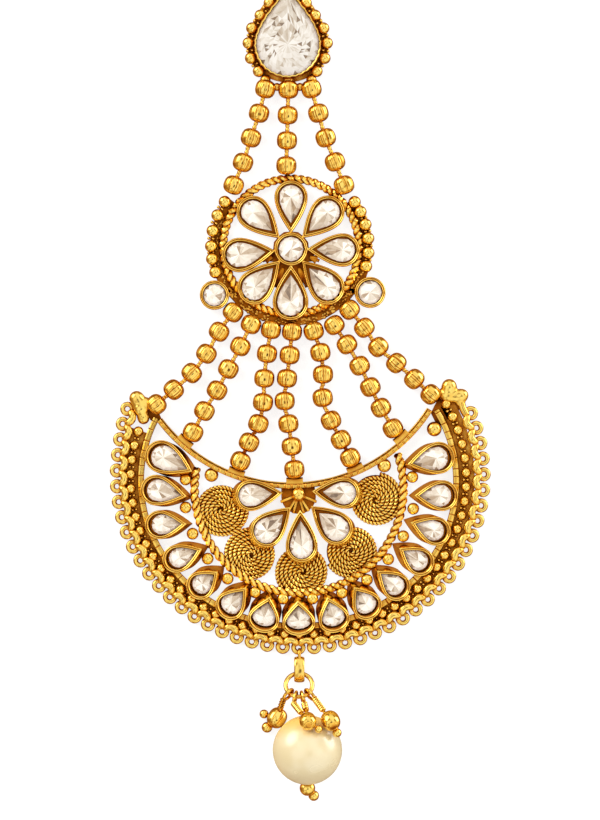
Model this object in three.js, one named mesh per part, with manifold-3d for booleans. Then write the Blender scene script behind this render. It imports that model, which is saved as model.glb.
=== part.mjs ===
// A jhoomar lying face up: crown stone, medallion, crescent and pearl drop, joined by strands of beads.
// Millimetres. X is to the right, Y toward the hook and Z toward the viewer. The design origin is the
// middle of the medallion's centre stone, with the back of the metal at z = 0.

import * as THREE from "three";
import { mergeVertices } from "three/addons/utils/BufferGeometryUtils.js";
import Module from "manifold-3d";

const wasm = await Module();
wasm.setup();

// Clearances
const seatGap = 0.12; // a stone in its cup, and one loose piece to the next

// Shared metal sizes
const plateThickness = 0.5;
const ballSink = 0.15; // how far a soldered ball's centre is lowered below its own radius
const ballSides = 10;
const ballRows = 3;

// Cups and stones
const cupSides = 10;
const cupWall = 0.4;
const cupHeight = 2.2;
const seatDepth = 1.25; // from a cup's rim down to the floor that the stone sits over
const stoneDrop = 0.35; // from a cup's rim down to the stone's widest edge
const crownRise = 0.5; // from the stone's widest edge up to its table
const tableShare = 0.5; // the table's width as a share of the stone's
const stoneSides = 10;

// Strands of fluted beads
const beadRadius = 1.53;
const beadHalf = 1.38;
const bellyShare = 0.5; // half the length of a bead's widest stretch, as a share of its half length
const wireRadius = 0.3;
const beadSides = 10;

// Medallion
const medallionRopeRadius = 10.2;
const medallionRopeLift = 0.4; // the rope ring's centre above the design origin
const medallionRopeWire = 0.45;
const petalCount = 8;
const petalRound = 2.5;
const petalSink = 0.1; // a petal's round end reaches this far past the rope ring's middle line
const petalReach = medallionRopeRadius - petalRound + petalSink; // to the middle of a petal's round end
const petalTipReach = 2.8; // from the centre to a petal's tip
const petalLength = petalReach - petalTipReach; // from the middle of the round end to the tip
const centreCupRadius = 2.5;
const medallionPlateEdge = medallionRopeRadius + 1.2; // below, where the strands start
const medallionWingEdge = medallionRopeRadius + 2.2; // at the sides, under the rows of seed beads
const medallionWingTop = 38; // degrees above the horizontal, the top of the ring is bare
const medallionWingFoot = -37;
const sideCupRadius = 2.25;
const sideCupReach = medallionRopeRadius + 3.5;
const sideCupTurn = -31.5; // degrees from the horizontal
const webReach = [3.2, 3.2, 3.2, 3.2, 4.6, 5.9, 5.9, 4.6]; // filler plate between petals, from 22.5 degrees on

// Crown
const crownX = -0.5;
const crownY = 30.7;
const crownRound = 5.15;
const crownLength = 8.7;
const crownWall = 0.3;
const crownHeight = 2.8;
const crownSides = 16;
const crownPlateRound = 6.35; // out to the edge of the seed beads around the stone
const crownPlateFoot = 5.5; // below, where the strands start
const crownFootTurn = -50; // degrees from the horizontal

// Crown ring and hair hook
const ringRadius = 1.5;
const ringWire = 0.35;
const ringRun = 0.9; // how far the two linked rings' wires lie apart
const hookWidth = 1.4;
const hookThickness = 1.0;
const hookShank = 8;
const hookBend = 3.1;
const hookReturn = 5.5;

// Crescent rails. The long curves are ovals: half their width across and half their height down.
const rail = { x: 1.13, y: -34.8, across: 23.65, down: 21.8 };
const railWidth = 0.85;
const railHeight = 1.3; // below the floors of the cups that stand over it
const railLeftEnd = 157; // eccentric angle in degrees
const railRightEnd = 29;
const edgeX = 0;
const edgeLow = -35.5; // the lowest point of the concave top edge
const edgeRadius = 24.7;
const edgeWidth = 0.95;
const edgeHeight = 2.0;
const edgeLeftEnd = -143;
const edgeRightEnd = -32.5;
const padWidth = 2.4;
const strandStop = 2.42; // from the edge's middle line to the middle of a strand's last bead
const padFoot = 0.4;
const padHeight = 1.9;
const edgeY = edgeLow + edgeRadius;
const bandHalf = 0.85; // half the width of the gallery strip that carries the small beads

// Rope arc, coils and fan
const ropeX = 1.2;
const ropeY = -35.95;
const ropeRadius = 15.7;
const ropeWire = 0.58;
const ropeLift = 0.9;
const ropeLeftEnd = 169;
const ropeRightEnd = 19;
const fanX = 1.14;
const fanDrop = 1.65; // from the concave edge's lowest point down to the fan's middle
const fanY = edgeLow - fanDrop;
const coilRadius = 3.9;
const coilSink = 0.3; // the coils reach this near the middle of the rope's wire
const coilReach = ropeRadius - coilRadius - coilSink;
const coilTurns = [-170, -129.5, -87, -46, -2.5]; // degrees about the fan's centre
const coilThickness = 0.75;
const coilBase = 0.35;
const coilSides = 10;
const fanTurns = [178, -133, -86.5, -40, 5];
const fanReach = 7.15;
const fanRound = 2.42;
const fanLength = 5.05;
const fanBase = 0.9; // the fan's cups stand on the coils
const fanHeight = 2.4;
const fanLean = -0.6; // the foot of a fan cup lies this far outside its rim
const fanBallRadius = 1.0;
const fanPlateRadius = 3.1;

// The fifteen cups along the rail: eccentric angle on their oval, turn of the tip about the rope's
// centre, its reach as a share of the tips' circle, and the round end as a share of the largest.
const cupInset = { x: 0.07, y: -1.6, across: -1.99, down: -2.6 }; // from the rail's oval to theirs
const crescentCups = [
  { turn: 164.0, tipTurn: 171.0, tipShare: 0.955, size: 1.0 },
  { turn: 179.3, tipTurn: 184.0, tipShare: 0.985, size: 0.95 },
  { turn: 195.1, tipTurn: 197.4, tipShare: 1.02, size: 0.9 },
  { turn: 211.7, tipTurn: 211.7, tipShare: 1.0, size: 0.87 },
  { turn: 226.6, tipTurn: 225.5, tipShare: 1.01, size: 0.86 },
  { turn: 241.2, tipTurn: 241.7, tipShare: 0.99, size: 0.87 },
  { turn: 255.9, tipTurn: 254.9, tipShare: 0.985, size: 0.87 },
  { turn: 269.9, tipTurn: 269.5, tipShare: 0.99, size: 0.89 },
  { turn: 284.4, tipTurn: 284.7, tipShare: 0.985, size: 0.87 },
  { turn: 298.3, tipTurn: 299.0, tipShare: 0.985, size: 0.87 },
  { turn: 312.1, tipTurn: 313.5, tipShare: 0.995, size: 0.87 },
  { turn: 327.0, tipTurn: 329.2, tipShare: 1.02, size: 0.87 },
  { turn: 341.9, tipTurn: 343.2, tipShare: 1.02, size: 0.9 },
  { turn: 358.2, tipTurn: 356.5, tipShare: 1.0, size: 0.95 },
  { turn: 375.2, tipTurn: 372.8, tipShare: 0.968, size: 0.97 },
];
const crescentRound = 2.42;
const tipReach = 1.55; // the tips lie this far outside the rope's middle
const crescentHeight = 2.6;
const crescentLean = 1.6; // a cup's foot lies this far inside its rim, toward the rope arc
const edgeBalls = [{ turn: -117.4, out: 1.3 }, { turn: -57.2, out: 1.12 }]; // hang from the concave edge
const edgeBallRadius = 1.05;
// Each horn of the crescent, from the rail's end: the strand that ends there, its last bead, the
// horn's balls and the plate under them.
const horns = {
  left: {
    strand: "lower_strand_1",
    lastBead: { x: 0.44, y: 2.98 },
    balls: [
      { x: -2.61, y: 3.78, radius: 1.2 },
      { x: -2.21, y: 2.38, radius: 1.15 },
      { x: -1.56, y: 0.68, radius: 0.85 },
    ],
    plate: [[-3.56, 3.88], [-1.86, 4.18], [-0.56, 1.88],
      [1.04, -0.02], [-0.66, -0.72], [-2.86, -0.32]],
  },
  right: {
    strand: "lower_strand_7",
    lastBead: { x: -0.86, y: 2.43 },
    balls: [
      { x: 1.89, y: 3.53, radius: 1.3 },
      { x: 3.69, y: 2.33, radius: 1.15 },
      { x: 3.89, y: 0.73, radius: 0.9 },
      { x: -0.31, y: -2.77, radius: 1.12 },
    ],
    plate: [[1.09, 3.43], [3.79, 2.63], [4.39, 0.93],
      [2.59, -0.67], [0.29, -2.57], [-0.81, -0.37]],
  },
};

// Small bead border and edge chain
const borderBeadRadius = 0.68;
const borderLeftEnd = 163;
const borderRightEnd = 28;
const borderSteps = 26;
const borderShift = { x: -0.02, y: 0.37 }; // from the rail's middle
const borderGap = { across: 0.445, down: 0.555 }; // between the rail and the beads
const chainWidth = 2.3;
const chainHeight = 2.0;
const chainLeftEnd = 160.5;
const chainRightEnd = 20;
const chainSteps = 30;
const chainSides = 8;
const chainShift = { x: 0.27, y: 0.36 }; // from the border's middle
const chainGap = { across: 0.57, down: 0.56 }; // between the beads and the chain

// An oval outside another one, by a gap that differs across and down.
function outside({ x, y, across, down }, shift, gap, room) {
  return { x: x + shift.x, y: y + shift.y, across: across + gap.across + room, down: down + gap.down + room };
}
const border = outside(rail, borderShift, borderGap, railWidth / 2 + borderBeadRadius);
const chain = outside(border, chainShift, chainGap, borderBeadRadius + chainWidth / 2);
const cupLine = outside(rail, cupInset, cupInset, 0);

// Drop
const bailX = 1.25;
const bailDrop = 3.18; // from the chain's lowest line to the bail's middle
const bailY = chain.y - chain.down - bailDrop;
const bailLength = 3.9;
const bailDepth = 2.4;
const bailWidth = 1.55;
const bailStrip = 0.42;
const jumpX = 1.2;
const jumpDrop = 2.3; // from the bail's middle to the ring's
const jumpY = bailY - jumpDrop;
const jumpRadius = 2.0;
const jumpWire = 0.35;
const jumpTilt = 32; // degrees, the lower end of the ring is lifted
const loopRadius = 0.95;
const loopWire = 0.2;
const loopOffset = 0.3;
const pearlRadius = 5.2;
const pearlX = 2.46;
const pearlDrop = 9.57; // from the ring's middle to the pearl's
const pearlY = jumpY - pearlDrop;
const pearlHole = 0.45;
const pinWire = 0.3;
const pinTilt = 22; // degrees, the pin's lower end points at the ground
const pinCapRadius = 1.17;
const pinEndRadius = 0.8;

// Bead centres of each strand, from the piece above it to the piece below it.
const strandRoutes = {
  upper_strand_left: [[-3.85, 24.05], [-4.8, 20.4], [-6.0, 16.7], [-7.2, 13.0], [-8.6, 9.6]],
  upper_strand_middle: [[-0.4, 23.95], [-0.5, 20.1], [-0.6, 16.3], [-0.7, 12.55]],
  upper_strand_right: [[3.05, 24.05], [4.1, 20.4], [5.2, 16.7], [6.6, 13.1], [7.95, 9.6]],
  lower_strand_1: [[-8.7, -9.5], [-10.8, -12.4], [-12.7, -15.7], [-14.9, -18.6], [-17.6, -21.1], [-20.2, -23.3]],
  lower_strand_2: [[-6.0, -11.3], [-7.6, -14.6], [-9.4, -18.0], [-11.1, -21.2], [-13.0, -24.3], [-14.7, -27.5]],
  lower_strand_3: [
    [-3.0, -12.1], [-3.6, -15.7], [-4.0, -19.4], [-4.2, -23.0], [-4.9, -26.2], [-6.3, -29.0], [-7.6, -31.8],
  ],
  lower_strand_4: [
    [0.15, -12.4], [-0.2, -15.9], [-0.6, -19.4], [-0.95, -22.8], [-0.4, -26.2], [0.1, -29.6], [0.5, -33.05],
  ],
  lower_strand_5: [
    [3.4, -12.3], [4.4, -15.5], [4.8, -18.8], [4.75, -22.3], [6.0, -25.7], [7.5, -28.6], [8.9, -31.3],
  ],
  lower_strand_6: [[6.5, -11.4], [8.4, -14.3], [10.3, -17.5], [11.9, -20.7], [13.5, -23.8], [15.3, -26.9]],
  lower_strand_7: [[8.8, -9.1], [11.0, -11.8], [13.1, -14.7], [15.8, -17.1], [18.5, -19.5], [20.95, -21.8]],
};
// The strands that end on the concave edge
const edgeStrands = ["lower_strand_2", "lower_strand_3", "lower_strand_4", "lower_strand_5", "lower_strand_6"];
// Each little drop: the angle of its loop on the jump ring, its bead and its tail beads. Heights on
// the page count from the ring's middle.
const littleDrops = {
  drop_beads_left: {
    loop: -135,
    bead: { at: [-2.1, -4.9, 1.4], radius: 1.28 },
    tails: [{ at: [-4.05, -4.4, 0.95], radius: 0.68 }, { at: [-3.6, -6.4, 0.95], radius: 0.75 }],
  },
  drop_beads_middle: {
    loop: -105,
    bead: { at: [2.5, -5.0, 10.1], radius: 1.35 },
    tails: [{ at: [4.1, -6.2, 10.2], radius: 0.55 }],
  },
  drop_beads_right: {
    loop: -45,
    bead: { at: [5.9, -5.1, 9.0], radius: 1.42 },
    tails: [{ at: [6.85, -6.8, 8.7], radius: 0.68 }],
  },
};
const pinLoop = -76; // degrees on the jump ring
const pinEnd = hung([3.4, -16.75, 2.0]);

// Materials
const gold = { color: 0xd79a2b, roughness: 0.28, metalness: 1 };
const darkGold = { color: 0xb9791f, roughness: 0.36, metalness: 1 };
const clearStone = { color: 0xeee6da, roughness: 0.05, metalness: 0 };
const cream = { color: 0xf1dfae, roughness: 0.25, metalness: 0 };

// Small helpers
const radians = THREE.MathUtils.degToRad;

function polar(reach, degrees, x = 0, y = 0) {
  return [x + reach * Math.cos(radians(degrees)), y + reach * Math.sin(radians(degrees))];
}

// A place counted from the jump ring's middle.
function hung([x, y, z]) {
  return [x, jumpY + y, z];
}

// A point on an oval at an eccentric angle, moved out square to the curve.
function ovalPoint({ x, y, across, down }, degrees, out = 0) {
  const cos = Math.cos(radians(degrees));
  const sin = Math.sin(radians(degrees));
  const scale = out / Math.hypot(down * cos, across * sin);
  return [x + across * cos + scale * down * cos, y + down * sin + scale * across * sin];
}

function roundLine(x, y, radius) {
  return { x, y, across: radius, down: radius };
}

function enclosedVolume(geometry) {
  const point = geometry.getAttribute("position");
  const index = geometry.getIndex();
  const corners = [new THREE.Vector3(), new THREE.Vector3(), new THREE.Vector3()];
  let volume = 0;
  for (let i = 0; i < index.count; i += 3) {
    corners.forEach((corner, k) => corner.fromBufferAttribute(point, index.getX(i + k)));
    volume += corners[0].dot(corners[1].clone().cross(corners[2])) / 6;
  }
  return volume;
}

function facingOut(geometry) {
  if (enclosedVolume(geometry) < 0) {
    geometry.setIndex(Array.from(geometry.getIndex().array).reverse());
  }
  return geometry;
}

// A closed body lofted through rings of points that all have the same count. It starts at a flat face,
// or at a point where one is given.
function loft(rings, point = null) {
  const sides = rings[0].length;
  const corners = rings.flat();
  const index = [];
  for (let i = 0; i < rings.length - 1; i += 1) {
    for (let j = 0; j < sides; j += 1) {
      const a = i * sides + j;
      const b = i * sides + ((j + 1) % sides);
      index.push(a, b, b + sides, a, b + sides, a + sides);
    }
  }
  const last = (rings.length - 1) * sides;
  for (let j = 1; j < sides - 1; j += 1) {
    index.push(last, last + j, last + j + 1);
    if (!point) index.push(0, j + 1, j);
  }
  if (point) {
    corners.push(point);
    for (let j = 0; j < sides; j += 1) index.push(corners.length - 1, (j + 1) % sides, j);
  }
  const geometry = new THREE.BufferGeometry().setFromPoints(corners);
  geometry.setIndex(index);
  return facingOut(geometry);
}

// Only positions, with shared vertices merged, as a join needs them.
function welded(geometry) {
  const bare = geometry.clone();
  bare.deleteAttribute("normal");
  bare.deleteAttribute("uv");
  return facingOut(mergeVertices(bare, 1e-4));
}

function solid(geometry) {
  const bare = welded(geometry);
  return new wasm.Manifold(new wasm.Mesh({
    numProp: 3,
    vertProperties: new Float32Array(bare.getAttribute("position").array),
    triVerts: new Uint32Array(bare.getIndex().array),
  }));
}

function soldered(geometries) {
  const whole = geometries.map(solid).reduce((sum, next) => sum.add(next));
  const mesh = whole.getMesh();
  const geometry = new THREE.BufferGeometry();
  geometry.setAttribute("position", new THREE.BufferAttribute(new Float32Array(mesh.vertProperties), 3));
  geometry.setIndex(Array.from(mesh.triVerts));
  return geometry;
}

// Shapes
function ball(radius, x, y, z) {
  return welded(new THREE.SphereGeometry(radius, ballSides, ballRows).rotateX(Math.PI / 2)).translate(x, y, z);
}

function solderedBall({ x, y, radius }) {
  return ball(radius, x, y, radius - ballSink + plateThickness / 2);
}

function circle(radius, sides) {
  return Array.from({ length: sides }, (_, k) => polar(radius, (360 * k) / sides));
}

// A drop outline: an arc about the origin and straight sides to a tip at x = length.
function drop(round, length, sides) {
  const start = Math.acos(Math.min(round / length, 0.99));
  const sweep = 2 * Math.PI - 2 * start;
  const outline = [[length, 0]];
  for (let k = 0; k < sides - 1; k += 1) {
    const angle = start + (sweep * k) / (sides - 2);
    outline.push([round * Math.cos(angle), round * Math.sin(angle)]);
  }
  return outline;
}

function ringAt(outline, z) {
  return outline.map(([x, y]) => new THREE.Vector3(x, y, z));
}

function flatPlate(outline, thickness) {
  const shape = new THREE.Shape(outline.map(([x, y]) => new THREE.Vector2(x, y)));
  return new THREE.ExtrudeGeometry(shape, { depth: thickness, bevelEnabled: false });
}

// A bar of rectangular section bent along an oval that lies flat, between two distances from it.
function arcBar({ line, inner, outer, bottom, top, from, to, steps }) {
  const rings = [];
  for (let k = 0; k <= steps; k += 1) {
    const degrees = from + ((to - from) * k) / steps;
    const near = ovalPoint(line, degrees, inner);
    const far = ovalPoint(line, degrees, outer);
    rings.push([[near, bottom], [far, bottom], [far, top], [near, top]].map(
      ([[px, py], z]) => new THREE.Vector3(px, py, z),
    ));
  }
  return loft(rings);
}

// Rings of a given radius around a route, each square to the route's direction there.
function sleeve(stations, sides, squash = 1) {
  const up = new THREE.Vector3(0, 0, 1);
  return stations.map(({ at, along, radius }) => {
    const side = new THREE.Vector3().crossVectors(up, along);
    if (side.lengthSq() < 1e-6) side.set(1, 0, 0);
    side.normalize();
    const rise = new THREE.Vector3().crossVectors(along, side).normalize();
    return Array.from({ length: sides }, (_, k) => {
      const angle = (2 * Math.PI * (k + 0.5)) / sides;
      return at.clone()
        .addScaledVector(side, radius * Math.cos(angle))
        .addScaledVector(rise, squash * radius * Math.sin(angle));
    });
  });
}

function tube(points, radius, sides) {
  const route = points.map((point) => new THREE.Vector3(...point));
  const stations = route.map((at, k) => {
    const before = route[Math.max(k - 1, 0)];
    const after = route[Math.min(k + 1, route.length - 1)];
    return { at, along: after.clone().sub(before).normalize(), radius };
  });
  return loft(sleeve(stations, sides));
}

function arcTube({ line, z, half, squash, from, to, steps, sides }) {
  const stations = Array.from({ length: steps + 1 }, (_, k) => {
    const degrees = from + ((to - from) * k) / steps;
    const [px, py] = ovalPoint(line, degrees);
    const [dx, dy] = [-line.across * Math.sin(radians(degrees)), line.down * Math.cos(radians(degrees))];
    return { at: new THREE.Vector3(px, py, z), along: new THREE.Vector3(dx, dy, 0).normalize(), radius: half };
  });
  return loft(sleeve(stations, sides, squash));
}

function torus(radius, wire, steps, sides) {
  return welded(new THREE.TorusGeometry(radius, wire, sides, steps));
}

// Shifts what lies below a cup's rim along X, by lean at its foot.
function leaned(geometry, lean, height) {
  const shear = new THREE.Matrix4().set(1, 0, -lean / height, lean, 0, 1, 0, 0, 0, 0, 1, 0, 0, 0, 0, 1);
  return geometry.applyMatrix4(shear);
}

// A cup whose rim has the given round end and length, at the origin with its tip toward +X.
function dropCup({ round, length, height, wall = cupWall, sides = cupSides, lean = 0 }) {
  const share = (round - wall) / round;
  const outer = drop(round, length, sides);
  const inner = drop(round * share, length * share, sides);
  const floor = height - seatDepth;
  const cup = loft([ringAt(outer, 0), ringAt(outer, height), ringAt(inner, height), ringAt(inner, floor)]);
  return leaned(cup, lean, height);
}

function roundCup({ radius, height, wall = cupWall, sides = cupSides }) {
  const floor = height - seatDepth;
  return loft([
    ringAt(circle(radius, sides), 0),
    ringAt(circle(radius, sides), height),
    ringAt(circle(radius - wall, sides), height),
    ringAt(circle(radius - wall, sides), floor),
  ]);
}

// A cut stone for a cup: culet, girdle and table.
function cutStone(girdle, cupTop, rise = crownRise) {
  const shrink = (share) => girdle.map(([x, y]) => [x * share, y * share]);
  const edge = cupTop - stoneDrop;
  const culet = cupTop - seatDepth + seatGap;
  return loft([ringAt(girdle, edge), ringAt(shrink(tableShare), edge + rise)], new THREE.Vector3(0, 0, culet));
}

function dropStone({ round, length, height, wall = cupWall, sides = stoneSides, rise, lean = 0 }) {
  const stoneRound = round - wall - seatGap;
  return leaned(cutStone(drop(stoneRound, (length * stoneRound) / round, sides), height, rise), lean, height);
}

function roundStone({ radius, height, wall = cupWall, sides = stoneSides }) {
  return cutStone(circle(radius - wall - seatGap, sides), height);
}

// Turns a piece made at the origin and carries it to its place.
function placed(geometry, { x, y, z = 0, turn = 0 }) {
  return geometry.clone().rotateZ(radians(turn)).translate(x, y, z);
}

// Where a strand meets the concave edge, in degrees about the edge's centre.
function edgeTurn(route) {
  const [x, y] = route[route.length - 1];
  return THREE.MathUtils.radToDeg(Math.atan2(y - edgeY, x - edgeX));
}

// A strand's route with its last bead carried to a new place. Every bead shares in its shift.
function endedAt(route, [endX, endY]) {
  const [x, y] = route[route.length - 1];
  return route.map(([beadX, beadY], k) => {
    const share = k / (route.length - 1);
    return [beadX + share * (endX - x), beadY + share * (endY - y)];
  });
}

function beadString(route) {
  const points = route.map(([x, y]) => new THREE.Vector3(x, y, beadRadius));
  const stations = [];
  points.forEach((at, k) => {
    const before = points[Math.max(k - 1, 0)];
    const after = points[Math.min(k + 1, points.length - 1)];
    const along = after.clone().sub(before).normalize();
    const profile = [[-1, wireRadius], [-bellyShare, beadRadius], [bellyShare, beadRadius], [1, wireRadius]];
    profile.forEach(([share, radius]) => {
      stations.push({ at: at.clone().addScaledVector(along, share * beadHalf), along, radius });
    });
  });
  return loft(sleeve(stations, beadSides));
}

// A flat coil of wire, a little lower in its middle.
function coil() {
  const top = coilThickness;
  const hollow = coilThickness * 0.7;
  const profile = [[0, 0], [coilRadius, 0], [coilRadius * 0.92, top], [0, hollow]];
  const lathe = new THREE.LatheGeometry(profile.map(([r, z]) => new THREE.Vector2(r, z)), coilSides);
  return welded(lathe.rotateX(Math.PI / 2));
}

// Assembly
const jewel = new THREE.Group();

function add(name, geometry, look) {
  const mesh = new THREE.Mesh(geometry, new THREE.MeshStandardMaterial(look));
  mesh.name = name;
  jewel.add(mesh);
}

function addStone(name, geometry, place) {
  add(name, placed(geometry, place), clearStone);
}

// Crown: cup, plate, border of balls and the ring at its tip
const crownPlace = { x: crownX, y: crownY, turn: 90 };
const crownShape = {
  round: crownRound, length: crownLength, height: crownHeight, wall: crownWall, sides: crownSides,
};
const crownSlope = crownLength / crownRound;

// The plate behind the cup: a drop outline, cut back below where the strands start.
function crownPlate() {
  const tangent = 90 - THREE.MathUtils.radToDeg(Math.acos(1 / crownSlope));
  const side = Array.from({ length: 5 }, (_, k) => (
    polar(crownPlateRound, crownFootTurn + ((tangent - crownFootTurn) * k) / 4)
  ));
  const foot = [-1, -0.5, 0, 0.5, 1].map((share) => polar(crownPlateFoot, -90 + share * (90 + crownFootTurn)));
  const left = side.map(([x, y]) => [-x, y]).reverse();
  return flatPlate([...side, [0, crownPlateRound * crownSlope], ...left, ...foot], plateThickness);
}

const crownPlateTip = crownY + crownPlateRound * crownSlope;
const ringY = crownPlateTip + ringRadius - ringWire;
const ringZ = ringRadius + ringWire;
add("crown_setting", soldered([
  placed(dropCup(crownShape), crownPlace),
  placed(crownPlate(), { x: crownX, y: crownY }),
  flatPlate([
    [crownX - 2 * ringWire, ringY - ringRadius - 4 * ringWire], [crownX + 2 * ringWire, ringY - ringRadius - 4 * ringWire],
    [crownX + 2 * ringWire, ringY - ringRadius], [crownX - 2 * ringWire, ringY - ringRadius],
  ], ringZ),
  torus(ringRadius, ringWire, 12, 6).translate(crownX, ringY, ringZ),
]), gold);
addStone("crown_stone", dropStone({ ...crownShape, rise: 0.9 }), crownPlace);

// Hair hook: an eye through the crown's ring, and a flat bar bent to a hook
const eyeY = ringY + 2 * ringRadius - ringRun;
const barStart = eyeY + ringRadius;
const barEnd = barStart + hookShank;
const hookOutline = { bottom: ringZ - hookThickness / 2, top: ringZ + hookThickness / 2 };

function flatBar(fromY, toY, x) {
  const half = hookWidth / 2;
  return flatPlate([[x - half, fromY], [x + half, fromY], [x + half, toY], [x - half, toY]], hookThickness)
    .translate(0, 0, hookOutline.bottom);
}

add("hair_hook", soldered([
  torus(ringRadius, ringWire, 12, 6).rotateY(Math.PI / 2).translate(crownX, eyeY, ringZ),
  flatBar(barStart - ringWire / 2, barEnd + 0.02, crownX),
  arcBar({
    line: roundLine(crownX + hookBend, barEnd, hookBend), inner: -hookWidth / 2, outer: hookWidth / 2,
    ...hookOutline, from: 180, to: 0, steps: 12,
  }),
  flatBar(barEnd - hookReturn, barEnd + 0.02, crownX + 2 * hookBend),
]), darkGold);

// Strands
const hornPlaces = [[horns.left, railLeftEnd], [horns.right, railRightEnd]].map(([horn, end]) => {
  const [endX, endY] = ovalPoint(rail, end);
  return { horn, endX, endY };
});
const strands = { ...strandRoutes };
for (const name of edgeStrands) {
  const turn = edgeTurn(strands[name]);
  strands[name] = endedAt(strands[name], polar(edgeRadius - strandStop, turn, edgeX, edgeY));
}
for (const { horn, endX, endY } of hornPlaces) {
  strands[horn.strand] = endedAt(strands[horn.strand], [endX + horn.lastBead.x, endY + horn.lastBead.y]);
}
for (const [name, route] of Object.entries(strands)) {
  add(name, beadString(route), gold);
}

// Medallion
const petalShape = { round: petalRound, length: petalLength, height: cupHeight };
const petalPlaces = Array.from({ length: petalCount }, (_, k) => {
  const turn = 90 - (360 / petalCount) * k;
  const [x, y] = polar(petalReach, turn);
  return { x, y, turn: turn + 180 };
});
const sidePlaces = [180 - sideCupTurn, sideCupTurn].map((turn) => {
  const [x, y] = polar(sideCupReach, turn, 0, medallionRopeLift);
  return { x, y };
});

// A stretch of the plate under the rope ring, from one angle to another.
function medallionPlate(edge, from, to, steps) {
  return arcBar({
    line: roundLine(0, medallionRopeLift, medallionRopeRadius), inner: -medallionRopeWire,
    outer: edge - medallionRopeRadius, bottom: 0, top: plateThickness, from, to, steps,
  });
}

const webOutline = webReach.flatMap((reach, k) => {
  const step = 360 / petalCount;
  return [polar(centreCupRadius + cupWall, k * step), polar(reach, (k + 0.5) * step)];
});
const centreShape = { radius: centreCupRadius, height: cupHeight };
const sideShape = { radius: sideCupRadius, height: cupHeight };
add("medallion_frame", soldered([
  medallionPlate(medallionWingEdge, medallionWingFoot, medallionWingTop, 6),
  medallionPlate(medallionWingEdge, 180 - medallionWingTop, 180 - medallionWingFoot, 6),
  medallionPlate(medallionPlateEdge, 179 - medallionWingFoot, 361 + medallionWingFoot, 8),
  torus(medallionRopeRadius, medallionRopeWire, 24, 6)
    .translate(0, medallionRopeLift, plateThickness + medallionRopeWire / 2),
  flatPlate(webOutline, plateThickness),
  ...petalPlaces.map((place) => placed(dropCup(petalShape), place)),
  roundCup(centreShape),
  ...sidePlaces.map((place) => placed(roundCup(sideShape), place)),
]), gold);
petalPlaces.forEach((place, k) => addStone(`petal_stone_${k + 1}`, dropStone(petalShape), place));
addStone("medallion_centre_stone", roundStone(centreShape), { x: 0, y: 0 });
addStone("side_stone_left", roundStone(sideShape), sidePlaces[0]);
addStone("side_stone_right", roundStone(sideShape), sidePlaces[1]);

// Crescent cups
const crescentPlaces = crescentCups.map(({ turn, tipTurn, tipShare, size }) => {
  const [x, y] = ovalPoint(cupLine, turn);
  const [tipX, tipY] = polar((ropeRadius + tipReach) * tipShare, tipTurn, ropeX, ropeY);
  return {
    x, y,
    turn: THREE.MathUtils.radToDeg(Math.atan2(tipY - y, tipX - x)),
    shape: {
      round: crescentRound * size, length: Math.hypot(tipX - x, tipY - y),
      height: crescentHeight, lean: crescentLean,
    },
  };
});
const fanShape = { round: fanRound, length: fanLength, height: fanHeight, lean: fanLean };
const fanPlaces = fanTurns.map((turn) => {
  const [x, y] = polar(fanReach, turn, fanX, fanY);
  return { x, y, z: fanBase, turn: turn + 180 };
});

const edge = roundLine(edgeX, edgeY, edgeRadius);

// A pad on the concave edge for each strand that ends there
const pads = edgeStrands.map((name) => {
  const turn = edgeTurn(strands[name]);
  const half = THREE.MathUtils.radToDeg(padWidth / 2 / edgeRadius);
  return arcBar({
    line: edge, inner: beadHalf + seatGap - strandStop, outer: 0, bottom: padFoot, top: padHeight,
    from: turn - half, to: turn + half, steps: 1,
  });
});

const fanPlate = [
  ...[175, 205, 235, 265, 295, 325, 5].map((degrees) => polar(fanPlateRadius, degrees, fanX, fanY)),
  [fanX + fanPlateRadius * 0.8, edgeY - edgeRadius], [fanX - fanPlateRadius, edgeY - edgeRadius],
];

const hornPieces = hornPlaces.flatMap(({ horn, endX, endY }) => [
  flatPlate(horn.plate.map(([x, y]) => [endX + x, endY + y]), plateThickness),
  ...horn.balls.map(({ x, y, radius }) => solderedBall({ x: endX + x, y: endY + y, radius })),
]);

add("crescent_frame", soldered([
  arcBar({
    line: rail, inner: -railWidth / 2, outer: railWidth / 2, bottom: 0, top: railHeight,
    from: railLeftEnd, to: railRightEnd + 360, steps: 22,
  }),
  arcBar({
    line: edge, inner: -edgeWidth / 2, outer: edgeWidth / 2, bottom: 0, top: edgeHeight,
    from: edgeLeftEnd, to: edgeRightEnd, steps: 12,
  }),
  arcBar({
    line: border, inner: -bandHalf, outer: bandHalf, bottom: 0, top: plateThickness,
    from: borderLeftEnd, to: borderRightEnd + 360, steps: 22,
  }),
  arcTube({
    line: roundLine(ropeX, ropeY, ropeRadius), z: ropeLift, half: ropeWire, squash: 1,
    from: ropeLeftEnd, to: ropeRightEnd + 360, steps: 18, sides: 6,
  }),
  flatPlate(fanPlate, fanBase + 0.5),
  ...crescentPlaces.map((place) => placed(dropCup(place.shape), place)),
  ...coilTurns.map((turn) => {
    const [x, y] = polar(coilReach, turn, fanX, fanY);
    return coil().translate(x, y, coilBase);
  }),
  ...fanPlaces.map((place) => placed(dropCup(fanShape), place)),
  ball(fanBallRadius, fanX, fanY + 0.3, fanBase + fanBallRadius * 0.9),
  ...edgeBalls.map(({ turn, out }) => {
    const [x, y] = polar(edgeRadius + out, turn, edgeX, edgeY);
    return solderedBall({ x, y, radius: edgeBallRadius });
  }),
  ...pads,
  ...hornPieces,
]), gold);
crescentPlaces.forEach((place, k) => addStone(`crescent_stone_${k + 1}`, dropStone(place.shape), place));
fanPlaces.forEach((place, k) => addStone(`fan_stone_${k + 1}`, dropStone(fanShape), place));

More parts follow.
